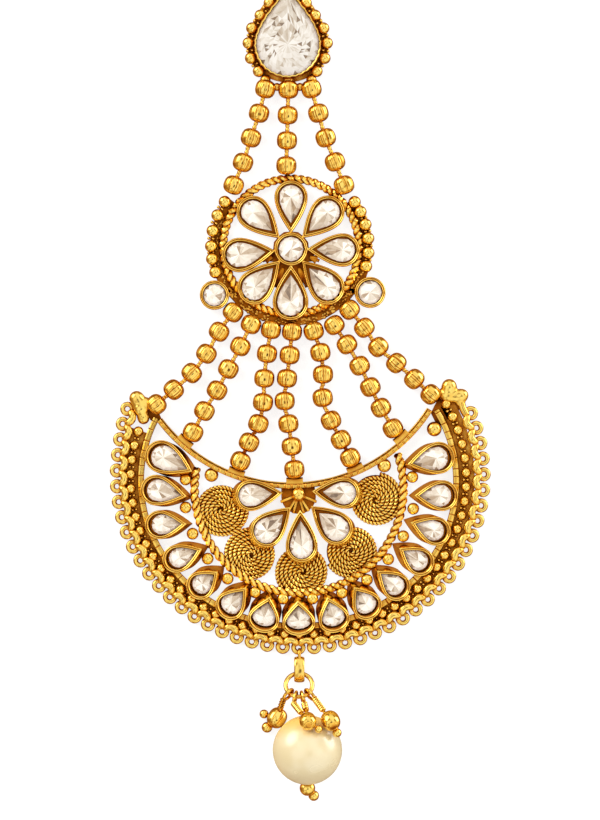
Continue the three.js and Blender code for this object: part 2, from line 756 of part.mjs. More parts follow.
// Small bead border on the gallery strip, and the chain outside it
add("bead_border", arcTube({
  line: border, z: plateThickness + seatGap + borderBeadRadius, half: borderBeadRadius, squash: 1,
  from: borderLeftEnd, to: borderRightEnd + 360, steps: borderSteps, sides: 6,
}), gold);
add("edge_chain", arcTube({
  line: chain, z: chainHeight / 2, half: chainWidth / 2, squash: chainHeight / chainWidth,
  from: chainLeftEnd, to: chainRightEnd + 360, steps: chainSteps, sides: chainSides,
}), gold);

// Bail: a strip loop standing on edge, closed on itself
function bail() {
  const steps = 12;
  const section = (scale) => Array.from({ length: steps }, (_, k) => {
    const angle = (2 * Math.PI * k) / steps;
    return [(bailLength / 2 - scale) * Math.cos(angle), (bailDepth / 2 - scale) * Math.sin(angle)];
  });
  const shape = new THREE.Shape(section(0).map(([x, y]) => new THREE.Vector2(x, y)));
  shape.holes.push(new THREE.Path(section(bailStrip).map(([x, y]) => new THREE.Vector2(x, y))));
  const strip = new THREE.ExtrudeGeometry(shape, { depth: bailWidth, bevelEnabled: false });
  return welded(strip.translate(0, 0, -bailWidth / 2).rotateX(Math.PI / 2).rotateZ(Math.PI / 2))
    .translate(bailX, bailY, bailDepth / 2);
}
add("bail", bail(), gold);

// Jump ring, tilted, its upper wire through the bail
const jumpZ = bailDepth / 2 + jumpRadius * Math.sin(radians(jumpTilt));
add("jump_ring", torus(jumpRadius, jumpWire, 16, 6).rotateX(-radians(jumpTilt)).translate(jumpX, jumpY, jumpZ), gold);

const jumpNormal = new THREE.Vector3(0, Math.sin(radians(jumpTilt)), Math.cos(radians(jumpTilt)));

// A wire loop round the jump ring at an angle, and the point where its tail starts.
function ringLoop(degrees) {
  const [dx, dy] = polar(1, degrees);
  const radial = new THREE.Vector3(dx, dy * Math.cos(radians(jumpTilt)), -dy * Math.sin(radians(jumpTilt)));
  const centre = new THREE.Vector3(jumpX, jumpY, jumpZ).addScaledVector(radial, jumpRadius + loopOffset);
  const tangent = new THREE.Vector3().crossVectors(jumpNormal, radial).normalize();
  const turn = new THREE.Matrix4().makeBasis(radial, jumpNormal.clone().negate(), tangent);
  const loop = torus(loopRadius, loopWire, 10, 5).applyMatrix4(turn).translate(centre.x, centre.y, centre.z);
  const tail = centre.clone().addScaledVector(radial, loopRadius);
  return { loop, tail: [tail.x, tail.y, tail.z] };
}

for (const [name, { loop: degrees, bead, tails }] of Object.entries(littleDrops)) {
  const { loop, tail } = ringLoop(degrees);
  add(name, soldered([
    loop,
    tube([tail, hung(bead.at)], loopWire * 0.9, 5),
    ball(bead.radius, ...hung(bead.at)),
    ...tails.map((end) => tube([hung(bead.at), hung(end.at)], loopWire * 1.4, 5)),
    ...tails.map((end) => ball(end.radius, ...hung(end.at))),
  ]), gold);
}

// Pearl, drilled for its pin
const pinAlong = new THREE.Vector3(0, Math.cos(radians(pinTilt)), Math.sin(radians(pinTilt)));
const pearlCentre = new THREE.Vector3(pearlX, pearlY, pearlRadius);

function pearl() {
  const steps = 9;
  const edge = Math.asin(pearlHole / pearlRadius);
  const profile = Array.from({ length: steps + 1 }, (_, k) => {
    const angle = edge + ((Math.PI - 2 * edge) * k) / steps;
    return new THREE.Vector2(pearlRadius * Math.sin(angle), pearlRadius * Math.cos(angle));
  });
  profile.push(profile[0].clone());
  return welded(new THREE.LatheGeometry(profile, 14).rotateX(radians(pinTilt)))
    .translate(pearlCentre.x, pearlCentre.y, pearlCentre.z);
}
add("pearl", pearl(), cream);

const pinPoint = (distance) => pearlCentre.clone().addScaledVector(pinAlong, distance).toArray();
const { loop: pinEye, tail: pinTail } = ringLoop(pinLoop);
const capDistance = -(pearlRadius + pinCapRadius * 0.95);
add("pearl_pin", soldered([
  pinEye,
  tube([pinTail, pinPoint(pearlRadius + 0.5), pinPoint(pearlRadius), pinPoint(capDistance)], pinWire * 0.8, 6),
  ball(pinCapRadius, ...pinPoint(capDistance)),
  tube([pinPoint(capDistance), pinEnd], pinWire, 5),
  ball(pinEndRadius, ...pinEnd),
]), gold);

// The part's own origin is the middle of its footprint, on the surface it lies on.
const box = new THREE.Box3().setFromObject(jewel);
const middle = box.getCenter(new THREE.Vector3());
jewel.position.set(-middle.x, -middle.y, -box.min.z);

const group = new THREE.Group();
group.add(jewel);

export default group;
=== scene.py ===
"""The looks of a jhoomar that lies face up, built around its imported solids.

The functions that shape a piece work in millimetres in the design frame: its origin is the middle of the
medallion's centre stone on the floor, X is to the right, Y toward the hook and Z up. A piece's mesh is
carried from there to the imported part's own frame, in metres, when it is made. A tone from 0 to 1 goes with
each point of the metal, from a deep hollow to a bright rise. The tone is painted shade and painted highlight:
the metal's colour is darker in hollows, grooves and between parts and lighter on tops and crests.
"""

import math

import bpy
import numpy as np
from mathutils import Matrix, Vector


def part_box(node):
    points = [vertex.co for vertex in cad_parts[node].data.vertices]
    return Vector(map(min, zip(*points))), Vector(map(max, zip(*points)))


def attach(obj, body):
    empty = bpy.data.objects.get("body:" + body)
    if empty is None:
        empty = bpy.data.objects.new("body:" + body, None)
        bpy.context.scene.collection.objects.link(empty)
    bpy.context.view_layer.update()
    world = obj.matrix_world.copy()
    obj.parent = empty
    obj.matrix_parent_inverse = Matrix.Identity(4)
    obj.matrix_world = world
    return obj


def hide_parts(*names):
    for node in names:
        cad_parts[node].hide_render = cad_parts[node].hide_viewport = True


bl_info = {
    "name": "Jhoomar",
    "version": (1, 0, 0),
    "blender": (4, 5, 0),
    "location": "3D View > Sidebar > Jhoomar",
    "description": "Builds the beads, cups, twisted wires, chain and stones of a jhoomar",
    "category": "Add Mesh",
}

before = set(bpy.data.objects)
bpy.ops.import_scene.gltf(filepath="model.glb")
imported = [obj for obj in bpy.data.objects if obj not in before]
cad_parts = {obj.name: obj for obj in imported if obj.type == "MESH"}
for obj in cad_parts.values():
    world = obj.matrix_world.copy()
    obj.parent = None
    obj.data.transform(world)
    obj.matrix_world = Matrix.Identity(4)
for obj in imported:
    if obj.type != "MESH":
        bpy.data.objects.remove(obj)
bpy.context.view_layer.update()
BODY = "root"
MM = 0.001

stone_low, stone_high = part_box("medallion_centre_stone")
SHIFT = np.array([(stone_low.x + stone_high.x) / 2, (stone_low.y + stone_high.y) / 2, 0.0])

# Rows and columns of a plain ball, a large one and a grain
BALL, LARGE_BALL, GRAIN = (9, 16), (11, 20), (6, 10)

# Crown, in millimetres
CROWN = (-0.5, 30.7)
CROWN_SLOPE = 8.7 / 5.15  # from a drop's middle to its tip, over the radius of its round end
CROWN_WALL = (8.55, 5.08)  # reach to the tip, and radius, of the bezel's outside
CROWN_STONE = (7.95, 4.72)
CROWN_BORDER = 5.9  # radius of the line of balls
CROWN_PLATE = 6.35
# The tones are painted shade: dark at the foot and deep inside the bezel, bright on top.
CROWN_RIM = [  # inset from the outer outline, height below the rim's top, tone
    (0.0, None, 0.5), (0.0, -0.5, 0.6), (0.10, -0.25, 0.75), (0.16, 0.0, 0.95), (0.24, 0.02, 1.0),
    (0.33, -0.04, 0.8), (0.36, -1.3, 0.1)]
# Rings of its stone: share of the way to the edge, and of the way up to the table
CROWN_RINGS = [(1.0, 0.0), (0.87, 0.42), (0.74, 0.66), (0.60, 0.80), (0.46, 0.90), (0.30, 0.95), (0.04, 1.0)]
# Facets of its stone painted dark as shade and reflection: share of the way to its edge, and degrees from the
# line to its tip
CROWN_DARK = [
    (0.42, 44), (0.46, 50), (0.42, 86), (0.46, 109), (0.56, 117), (0.69, 124), (0.88, 121), (0.87, 163),
    (0.72, 101), (0.60, 93), (0.75, 20), (0.62, 31), (0.52, 12)]
LINK_HEIGHT, LINK_RADIUS, LINK_THICK = 1.85, 1.5, 0.34  # the two linked rings above the crown
HOOK_FOOT, HOOK_SHANK, HOOK_BEND, HOOK_RETURN = 46.1, 8.08, 3.1, 5.5

# Strands of beads: the middle of each bead
BEAD_RADIUS, BEAD_HALF = 1.53, 1.40
STRANDS = {
    "upper_strand_left": [(-3.85, 24.05), (-4.8, 20.4), (-6.0, 16.7), (-7.2, 13.0), (-8.6, 9.6)],
    "upper_strand_middle": [(-0.4, 23.95), (-0.5, 20.1), (-0.6, 16.3), (-0.7, 12.55)],
    "upper_strand_right": [(3.05, 24.05), (4.1, 20.4), (5.2, 16.7), (6.6, 13.1), (7.95, 9.6)],
    "lower_strand_1": [
        (-8.7, -9.5), (-10.8, -12.4), (-12.7, -15.7), (-14.9, -18.6), (-17.6, -21.1), (-20.2, -23.3)],
    "lower_strand_2": [
        (-6.0, -11.3), (-7.6, -14.6), (-9.4, -18.0), (-11.1, -21.2), (-13.0, -24.3), (-14.7, -27.5)],
    "lower_strand_3": [
        (-3.0, -12.1), (-3.6, -15.7), (-4.0, -19.4), (-4.2, -23.0), (-4.9, -26.2), (-6.3, -29.0),
        (-7.6, -31.8)],
    "lower_strand_4": [
        (0.15, -12.4), (-0.2, -15.9), (-0.6, -19.4), (-0.95, -22.8), (-0.4, -26.2), (0.1, -29.6),
        (0.5, -33.05)],
    "lower_strand_5": [
        (3.4, -12.3), (4.4, -15.5), (4.8, -18.8), (4.75, -22.3), (6.0, -25.7), (7.5, -28.6), (8.9, -31.3)],
    "lower_strand_6": [(6.5, -11.4), (8.4, -14.3), (10.3, -17.5), (11.9, -20.7), (13.5, -23.8), (15.3, -26.9)],
    "lower_strand_7": [
        (8.8, -9.1), (11.0, -11.8), (13.1, -14.7), (15.8, -17.1), (18.5, -19.5), (20.95, -21.8)],
}

# Medallion
RING_CENTRE, RING_RADIUS = (0.0, 0.4), 10.2
CENTRE_CUP = 2.5
SIDE_CUPS = [(-11.49, -6.9, 2.2), (11.87, -6.5, 2.32)]
# Petals: turn, reach and half width
PETALS = [
    (90, 7.8, 2.5), (45, 7.8, 2.52), (-1, 7.8, 2.5), (-46.5, 7.95, 2.6), (-90.5, 8.0, 2.7),
    (-133.5, 7.95, 2.6), (-173.5, 7.85, 2.58), (136, 7.9, 2.52)]
# Rows of balls beside it: reach from the rope ring's middle, and turns
SIDE_BALLS = [(12.0, [146, 157, 168.7, 179.8, 189, 198.8]), (11.65, [35, 26.5, 16.5, 6, -4.7, -14.8])]
# Arcs of plate outside the rope ring: first and last turn, and outer radius
RING_PLATES = [(-37, 38, 12.2), (142, 217, 12.2), (214, 326, 11.9)]
# Grains scattered on them: turns, reaches and count
RING_GRAINS = [(215, 325, 10.8, 11.8, 110), (-37, 38, 10.8, 11.5, 40), (142, 217, 10.8, 11.5, 40)]
WEB_REACH = [2.8, 2.8, 2.8, 2.8, 4.6, 5.9, 5.9, 4.6]  # of the plate between the petals' tips

# Cups of the crescent and the fan: middle of the widest line, tip, half width and depth of the round end
CRESCENT_CUPS = [
    (-19.50, -31.10, -14.85, -33.35, 2.46, 2.50),
    (-20.30, -36.15, -15.70, -37.10, 2.32, 2.35),
    (-19.70, -41.35, -15.70, -41.25, 2.18, 2.25),
    (-17.10, -46.45, -13.40, -45.00, 2.12, 2.25),
    (-13.65, -50.50, -11.05, -48.45, 2.15, 2.10),
    (-9.25, -53.60, -6.80, -50.85, 2.25, 2.00),
    (-4.15, -55.65, -3.25, -52.30, 2.40, 1.95),
    (1.18, -56.20, 1.05, -52.85, 2.50, 1.85),
    (6.50, -55.65, 5.50, -52.30, 2.38, 1.95),
    (11.50, -53.60, 9.45, -50.75, 2.25, 2.00),
    (15.85, -50.70, 12.95, -48.30, 2.15, 2.10),
    (19.40, -46.95, 16.25, -44.90, 2.12, 2.15),
    (21.80, -42.35, 17.95, -41.00, 2.18, 2.20),
    (22.80, -36.98, 18.55, -37.00, 2.32, 2.30),
    (22.20, -31.30, 17.50, -32.30, 2.42, 2.40),
]
FAN_CENTRE = (1.14, -37.15)
FAN_CUPS = [
    (-6.00, -36.95, -1.15, -36.55, 2.35, 2.35),
    (-3.60, -42.20, 0.00, -38.65, 2.50, 2.50),
    (1.60, -44.50, 1.35, -39.10, 2.40, 2.45),
    (6.75, -41.85, 2.95, -38.50, 2.50, 2.50),
    (7.90, -36.60, 3.10, -36.35, 2.35, 2.35),
]
CUP_TOP, FAN_FOOT, FAN_TOP = 2.6, 0.9, 3.3
STONE_GAP = 0.66  # from a cup's outside to its stone
# The rims' tones are painted shade: dark in the groove of the rim and down inside the cup.
RIM = [  # inset from the outer outline, height below the rim's top, tone
    (0.0, None, 0.95), (0.0, -0.2, 1.0), (0.03, -0.06, 0.95), (0.10, 0.0, 0.92), (0.18, -0.04, 0.88),
    (0.24, -0.12, 0.2), (0.29, -0.06, 0.8), (0.36, 0.0, 0.95), (0.44, -0.05, 0.8), (0.48, -0.2, 0.45),
    (0.50, -0.9, 0.32)]

# Crescent: an oval is its middle, its half width and its half height
EDGE = (0.0, -10.8, 24.7, 24.7)
RAIL = (1.13, -34.8, 23.65, 21.8)
BORDER = (1.11, -34.43, 25.2, 23.46)
CHAIN = (1.38, -34.07, 27.62, 25.83)
ROPE_CENTRE, ROPE_RADIUS = (1.2, -35.95), 15.7
COILS = [(-10.45, -39.15), (-6.10, -45.87), (1.70, -48.50), (9.05, -45.40), (12.73, -37.60)]
COIL_RADIUS, COIL_TURNS = 3.95, 5.5
TIP_BALLS = [
    (-15.83, -34.58), (-15.83, -38.78), (-14.78, -42.72), (-12.52, -46.47), (-9.52, -49.47), (-5.4, -51.52),
    (-1.2, -52.47), (3.22, -52.47), (7.65, -51.6), (11.4, -49.65), (14.6, -46.55), (16.85, -43.1),
    (18.35, -38.97), (18.22, -34.2)]
# Balls where rail and rope arc join: place and radius, which is also their middle's height
JOIN_BALLS = [(-11.95, -33.9, 1.05), (13.99, -32.48, 1.05), (21.5, -27.0, 1.12)]
# Profiles of the bars: out, height and tone. The tone is painted shade, dark at the foot and bright on top.
RAIL_PROFILE = [
    (-0.42, 0.0, 0.2), (0.42, 0.0, 0.2), (0.46, 1.25, 0.6), (0.42, 1.52, 0.95), (0.33, 1.58, 1.0),
    (0.22, 1.54, 0.85), (0.0, 1.52, 0.9), (-0.22, 1.54, 0.9), (-0.34, 1.52, 0.95), (-0.44, 1.3, 0.6)]
EDGE_PROFILE = [
    (-0.46, 0.0, 0.2), (-0.5, 1.45, 0.5), (-0.46, 1.64, 0.75), (-0.38, 1.68, 0.8), (-0.30, 1.56, 0.45),
    (-0.22, 1.82, 0.65), (-0.12, 1.94, 0.85), (0.1, 1.97, 0.8), (0.36, 1.96, 0.85), (0.46, 1.84, 0.6),
    (0.47, 0.0, 0.2)]
GALLERY_PROFILE = [
    (-1.3, 0.0, 0.2), (1.25, 0.0, 0.2), (1.3, 0.4, 0.6), (1.2, 0.5, 0.75), (0.9, 0.52, 0.7), (0.2, 0.5, 0.75),
    (-0.9, 0.5, 0.75), (-1.3, 0.42, 0.5)]
RAIL_NOTCH, EDGE_NOTCH = 1.4, 1.02  # the way from one notch to the next
# Horns: the balls under each cluster's skin with their radius, the right one's tail, and the plates below
HORNS = [
    [(-23.16, -22.4, 1.35, 1.12), (-22.55, -23.95, 1.4, 1.15), (-21.7, -23.2, 1.3, 0.92),
     (-22.15, -25.4, 1.15, 0.9)],
    [(23.75, -20.6, 1.3, 1.12), (23.5, -22.0, 1.2, 1.05), (24.6, -22.2, 1.15, 0.85),
     (25.65, -21.95, 1.2, 0.98), (22.5, -21.7, 1.2, 0.6), (25.5, -23.3, 1.1, 0.6)]]
HORN_TAIL = [(25.5, -22.8, 1.2), (25.75, -23.8, 1.15), (26.3, -24.9, 1.0)]
# The left plate is a dark patch of painted shadow under the bead where rail and edge meet; the right one is a
# brown piece between edge and rail.
HORN_PLATES = [
    [(-21.6, -24.2), (-19.9, -24.4), (-19.4, -25.6), (-20.3, -26.2), (-21.2, -25.6)],
    [(22.9, -20.8), (25.6, -21.6), (26.2, -23.3), (24.4, -24.9), (22.1, -26.8), (21.0, -24.6)]]

# Drop
BAIL_MIDDLE = (1.25, -63.1, 1.2)
JUMP_CENTRE, JUMP_RADIUS, JUMP_TILT = (1.2, -65.4, 2.26), 2.0, 32.0
PEARL_X, PEARL_Y, PEARL_RADIUS = 2.46, -74.97, 5.2
PEARL_TILT = math.radians(22)
PEARL_TAIL = (3.4, -82.0, 2.0)
# Little drops: name, turn on the jump ring, middle of the bead, its radius, direction and flutes, and the
# tails' ends with their radius
SMALL_DROPS = [
    ("left", -135, (-2.1, -70.35, 1.62), 1.42, (-0.5, -0.8, 0.35), 7, [
        (-4.05, -69.8, 0.95, 0.68), (-3.6, -71.8, 0.95, 0.82)]),
    ("middle", -105, (2.5, -70.4, 9.95), 1.28, (0.1, -0.45, 0.85), 6, [(4.1, -71.6, 10.1, 0.58)]),
    ("right", -45, (5.9, -70.4, 9.0), 1.4, (0.3, -0.6, 0.7), 5, [(6.85, -72.2, 8.7, 0.7)])]

# Photograph's frame: width of a point and its height in points
POINT, FRAME_HEIGHT = 0.15, 820


# Points and paths
def unit(vectors):
    """Each vector over its own length."""
    return vectors / np.maximum(np.linalg.norm(vectors, axis=-1, keepdims=True), 1e-12)


def ring_angles(count):
    """Equal steps of one turn, in radians: 2 pi times the step's number over the count."""
    return 2 * np.pi * np.arange(count) / count


def polar(reach, degrees, centre=(0.0, 0.0)):
    """The point at a distance and an angle from a centre: centre plus reach times (cosine, sine)."""
    turn = np.radians(degrees)
    return np.stack([centre[0] + reach * np.cos(turn), centre[1] + reach * np.sin(turn)], -1)


def oval(line, degrees, out=0.0):
    """A point of an oval, middle plus (across times cosine, down times sine), moved out along the normal."""
    x, y, across, down = line
    cos, sin = np.cos(np.radians(degrees)), np.sin(np.radians(degrees))
    scale = out / np.hypot(down * cos, across * sin)
    return np.stack([x + across * cos + scale * down * cos, y + down * sin + scale * across * sin], -1)


def globe(low, high, rows, columns):
    """Directions between two latitudes.

    Each is the latitude's cosine times the turn's cosine and sine, and the latitude's sine.
    """
    latitude = np.radians(np.linspace(low, high, rows))[:, None]
    around = ring_angles(columns)
    flat = np.stack([np.cos(latitude) * np.cos(around), np.cos(latitude) * np.sin(around)], -1)
    return raised(flat, np.sin(latitude))


POLES = np.array([[0, 0, -1], [0, 0, 1]])


def raised(flat, height):
    """Points of a plane lifted to a height."""
    flat = np.asarray(flat, float)
    return np.concatenate([flat, np.broadcast_to(height, flat.shape[:-1])[..., None]], -1)


def placed(flat, x, y, turn):
    """Points turned about the origin by an angle and carried to a place."""
    cos, sin = math.cos(turn), math.sin(turn)
    across, up = flat[..., 0], flat[..., 1]
    return np.stack([x + cos * across - sin * up, y + sin * across + cos * up], -1)


def between(start, stop, share):
    """Start times (1 - share) plus stop times share."""
    return start * (1 - share) + stop * share


def evenly(path, step, ring=False):
    """The same path with points an equal distance apart, near the given step, and its length."""
    path = np.asarray(path, float)
    if ring:
        path = np.concatenate([path, path[:1]])
    lengths = np.concatenate([[0], np.cumsum(np.linalg.norm(np.diff(path, axis=0), axis=1))])
    count = max(int(round(lengths[-1] / step)), 2)
    wanted = np.linspace(0, lengths[-1], count + 1)
    if ring:
        wanted = wanted[:-1]
    return np.stack([np.interp(wanted, lengths, path[:, k]) for k in range(3)], -1), lengths[-1]


def smooth_route(points, count=40):
    """A Catmull-Rom curve through points: each span blends cubics of its four nearest points."""
    points = np.asarray(points, float)
    ends = np.concatenate([[2 * points[0] - points[1]], points, [2 * points[-1] - points[-2]]])
    spans = len(points) - 1
    share = np.linspace(0, spans, count)
    span = np.minimum(share.astype(int), spans - 1)
    t = (share - span)[:, None]
    a, b, c, d = (ends[span + k] for k in range(4))
    square, cube = 2 * a - 5 * b + 4 * c - d, 3 * b - a - 3 * c + d
    return 0.5 * (2 * b + (c - a) * t + square * t ** 2 + cube * t ** 3)


def ring_path(centre, radius, lean=0.0, count=40):
    """A circle that is flat at lean 0 and stands on edge across Y at 90."""
    angles = ring_angles(count)
    tilt = math.radians(lean)
    return np.array(centre) + radius * np.stack([
        np.cos(angles), np.sin(angles) * math.cos(tilt), -np.sin(angles) * math.sin(tilt)], -1)


def frames(path, ring=False):
    """Direction, side and rise of a path at each point. The side lies flat unless the path is steep."""
    ahead = np.roll(path, -1, axis=-2) - np.roll(path, 1, axis=-2) if ring else np.gradient(path, axis=-2)
    ahead = unit(ahead)
    steep = np.abs(ahead[..., 2]).max(-1)[..., None, None] > 0.95
    up = np.where(steep, np.array([1.0, 0.0, 0.0]), np.array([0.0, 0.0, 1.0]))
    side = unit(np.cross(up, ahead))
    return ahead, side, np.cross(ahead, side)


def wire(path, radius, sides=10, ring=False):
    """A round carried along a path: path plus radius times (cosine of side, sine of rise)."""
    _, side, rise = frames(path, ring)
    angles = ring_angles(sides)[:, None]
    radius = np.broadcast_to(radius, path.shape[:-1])[..., None, None]
    return path[..., None, :] + radius * (
        np.cos(angles) * side[..., None, :] + np.sin(angles) * rise[..., None, :])


def twist(path, pitch, offset, thick, strands, steps, ring):
    """Strands that wind about a path: path plus offset at an angle that grows by one turn each pitch."""
    centre, length = evenly(path, pitch / steps, ring)
    turns = round(length / pitch) if ring else length / pitch
    _, side, rise = frames(centre, ring)
    share = np.arange(len(centre)) / (len(centre) if ring else len(centre) - 1)
    angle = 2 * np.pi * (turns * share[None, :] + np.arange(strands)[:, None] / strands)
    centres = centre + offset * (np.cos(angle)[..., None] * side + np.sin(angle)[..., None] * rise)
    surface = wire(centres, thick, 7, ring)
    reach = np.linalg.norm(surface - centre[:, None, :], axis=-1) / (offset + thick)
    # The tone returned is painted shade: low between the strands, one on their crests.
    return surface, np.clip((reach - 0.45) / 0.5, 0.0, 1.0) ** 1.3


def fluted_beads(centres, along, radius, half, flutes, draw, rows=17, columns=112):
    """Barrel beads: superellipses of power 0.8 spun about the string, half along it and radius out from it.

    Each groove lowers the surface by up to 4%, as a narrow bell over the turn, at a drawn place and depth. The
    tone is painted shade, dark in the grooves and toward both ends.
    """
    along = unit(along)
    flat = np.abs(along[:, 2:]) < 0.7
    side = unit(np.cross(np.where(flat, [0.0, 0.0, 1.0], [1.0, 0.0, 0.0]), along))
    rise = np.cross(along, side)
    power, groove_width = 0.80, 0.05
    swing = np.radians(np.linspace(-84, 84, rows))[:, None]
    reach = half * np.sign(np.sin(swing)) * np.abs(np.sin(swing)) ** power
    around = ring_angles(columns)
    count = (len(centres), flutes)
    places = (np.arange(flutes) + draw.uniform(-0.38, 0.38, count)) * 2 * np.pi / flutes
    depths = draw.uniform(0.1, 1.0, count)
    away = np.angle(np.exp(1j * (around[None, None, :] - places[..., None])))
    groove = (depths[..., None] * np.exp(-(away / groove_width) ** 2)).max(1)[:, None, :]
    deep = groove * np.cos(swing) ** 0.5
    out = radius * np.cos(swing) ** power * (1 - 0.04 * deep)
    points = (
        centres[:, None, None, :] + reach[..., None] * along[:, None, None, :]
        + out[..., None] * (np.cos(around)[:, None] * side[:, None, None, :]
                            + np.sin(around)[:, None] * rise[:, None, None, :]))
    # Painted shade in the grooves and toward both ends of the bead.
    tone = np.clip(1 - 0.92 * deep - 0.45 * np.abs(np.sin(swing)) ** 6, 0, 1)
    return points, tone, np.stack([centres - half * along, centres + half * along], 1)


def drop_outline(front, half, back, count=56):
    """A drop in the plane, tip toward +X: half an ellipse behind, and curves that run straight to the tip.

    The upper curve is a quadratic one from (front, 0) over (0.36 front, half) to (0, half).
    """
    share = np.linspace(0, 1, count // 4, endpoint=False)
    bend = 0.36 * front
    upper = np.stack([
        (1 - share) ** 2 * front + 2 * share * (1 - share) * bend,
        2 * share * (1 - share) * half + share ** 2 * half], -1)
    swing = np.linspace(0, np.pi, count // 2, endpoint=False)
    behind = np.stack([-back * np.sin(swing), half * np.cos(swing)], -1)
    lower = np.stack([upper[:, 0], -upper[:, 1]], -1)[::-1]
    return np.concatenate([upper, behind, lower])


def inset(outline, depth):
    """The outline moved in by a depth along its own normals. Where its sides cross they meet on the axis."""
    ahead = unit(np.roll(outline, -1, 0) - np.roll(outline, 1, 0))
    moved = outline + depth * np.stack([-ahead[:, 1], ahead[:, 0]], -1)
    upper = np.arange(len(outline)) < len(outline) // 2
    crossed = np.where(upper, moved[:, 1] < 0, moved[:, 1] > 0) & (outline[:, 0] > 0)
    crossed |= (outline[:, 0] > 0) & (np.abs(outline[:, 1]) < 1e-9)
    if crossed.any() and depth > 0:
        kept = np.nonzero(upper & ~crossed)[0][:2]
        (x0, y0), (x1, y1) = moved[kept]
        moved[crossed] = (x0 + (x0 - x1) * y0 / max(y1 - y0, 1e-6), 0.0)
    return moved


def skin(parts):
    """One skin round several balls: where the sum of exp(4.5 times (radius - distance)) falls to one."""
    parts = np.array(parts, float)
    rows, columns, blend = 30, 52, 4.5
    middle = parts[:, :3].mean(0)
    ways = np.concatenate([globe(-84, 84, rows, columns).reshape(-1, 3), POLES])
    reach = np.linspace(0, 6, 150)
    points = middle + reach[:, None, None] * ways
    away = np.linalg.norm(points[:, :, None, :] - parts[:, :3], axis=-1)
    level = np.log(np.exp(blend * (parts[:, 3] - away)).sum(-1))
    last = (np.where(level > 0, 1, 0) * np.arange(len(reach))[:, None]).max(0)
    column = np.arange(len(ways))
    inner, outer = level[last, column], level[last + 1, column]
    found = middle + (reach[last] + (reach[1] - reach[0]) * inner / (inner - outer))[:, None] * ways
    return found[:-2].reshape(rows, columns, 3), found[-2:]


def grid_faces(rows, columns, ring=False):
    """The four corners of each face of a grid whose columns close round, and whose rows do too if ring."""
    row = np.arange(rows if ring else rows - 1)[:, None]
    column = np.arange(columns)[None, :]
    next_row, next_column = (row + 1) % rows, (column + 1) % columns
    return np.stack([
        row * columns + column, next_row * columns + column,
        next_row * columns + next_column, row * columns + next_column], -1).reshape(-1, 4)


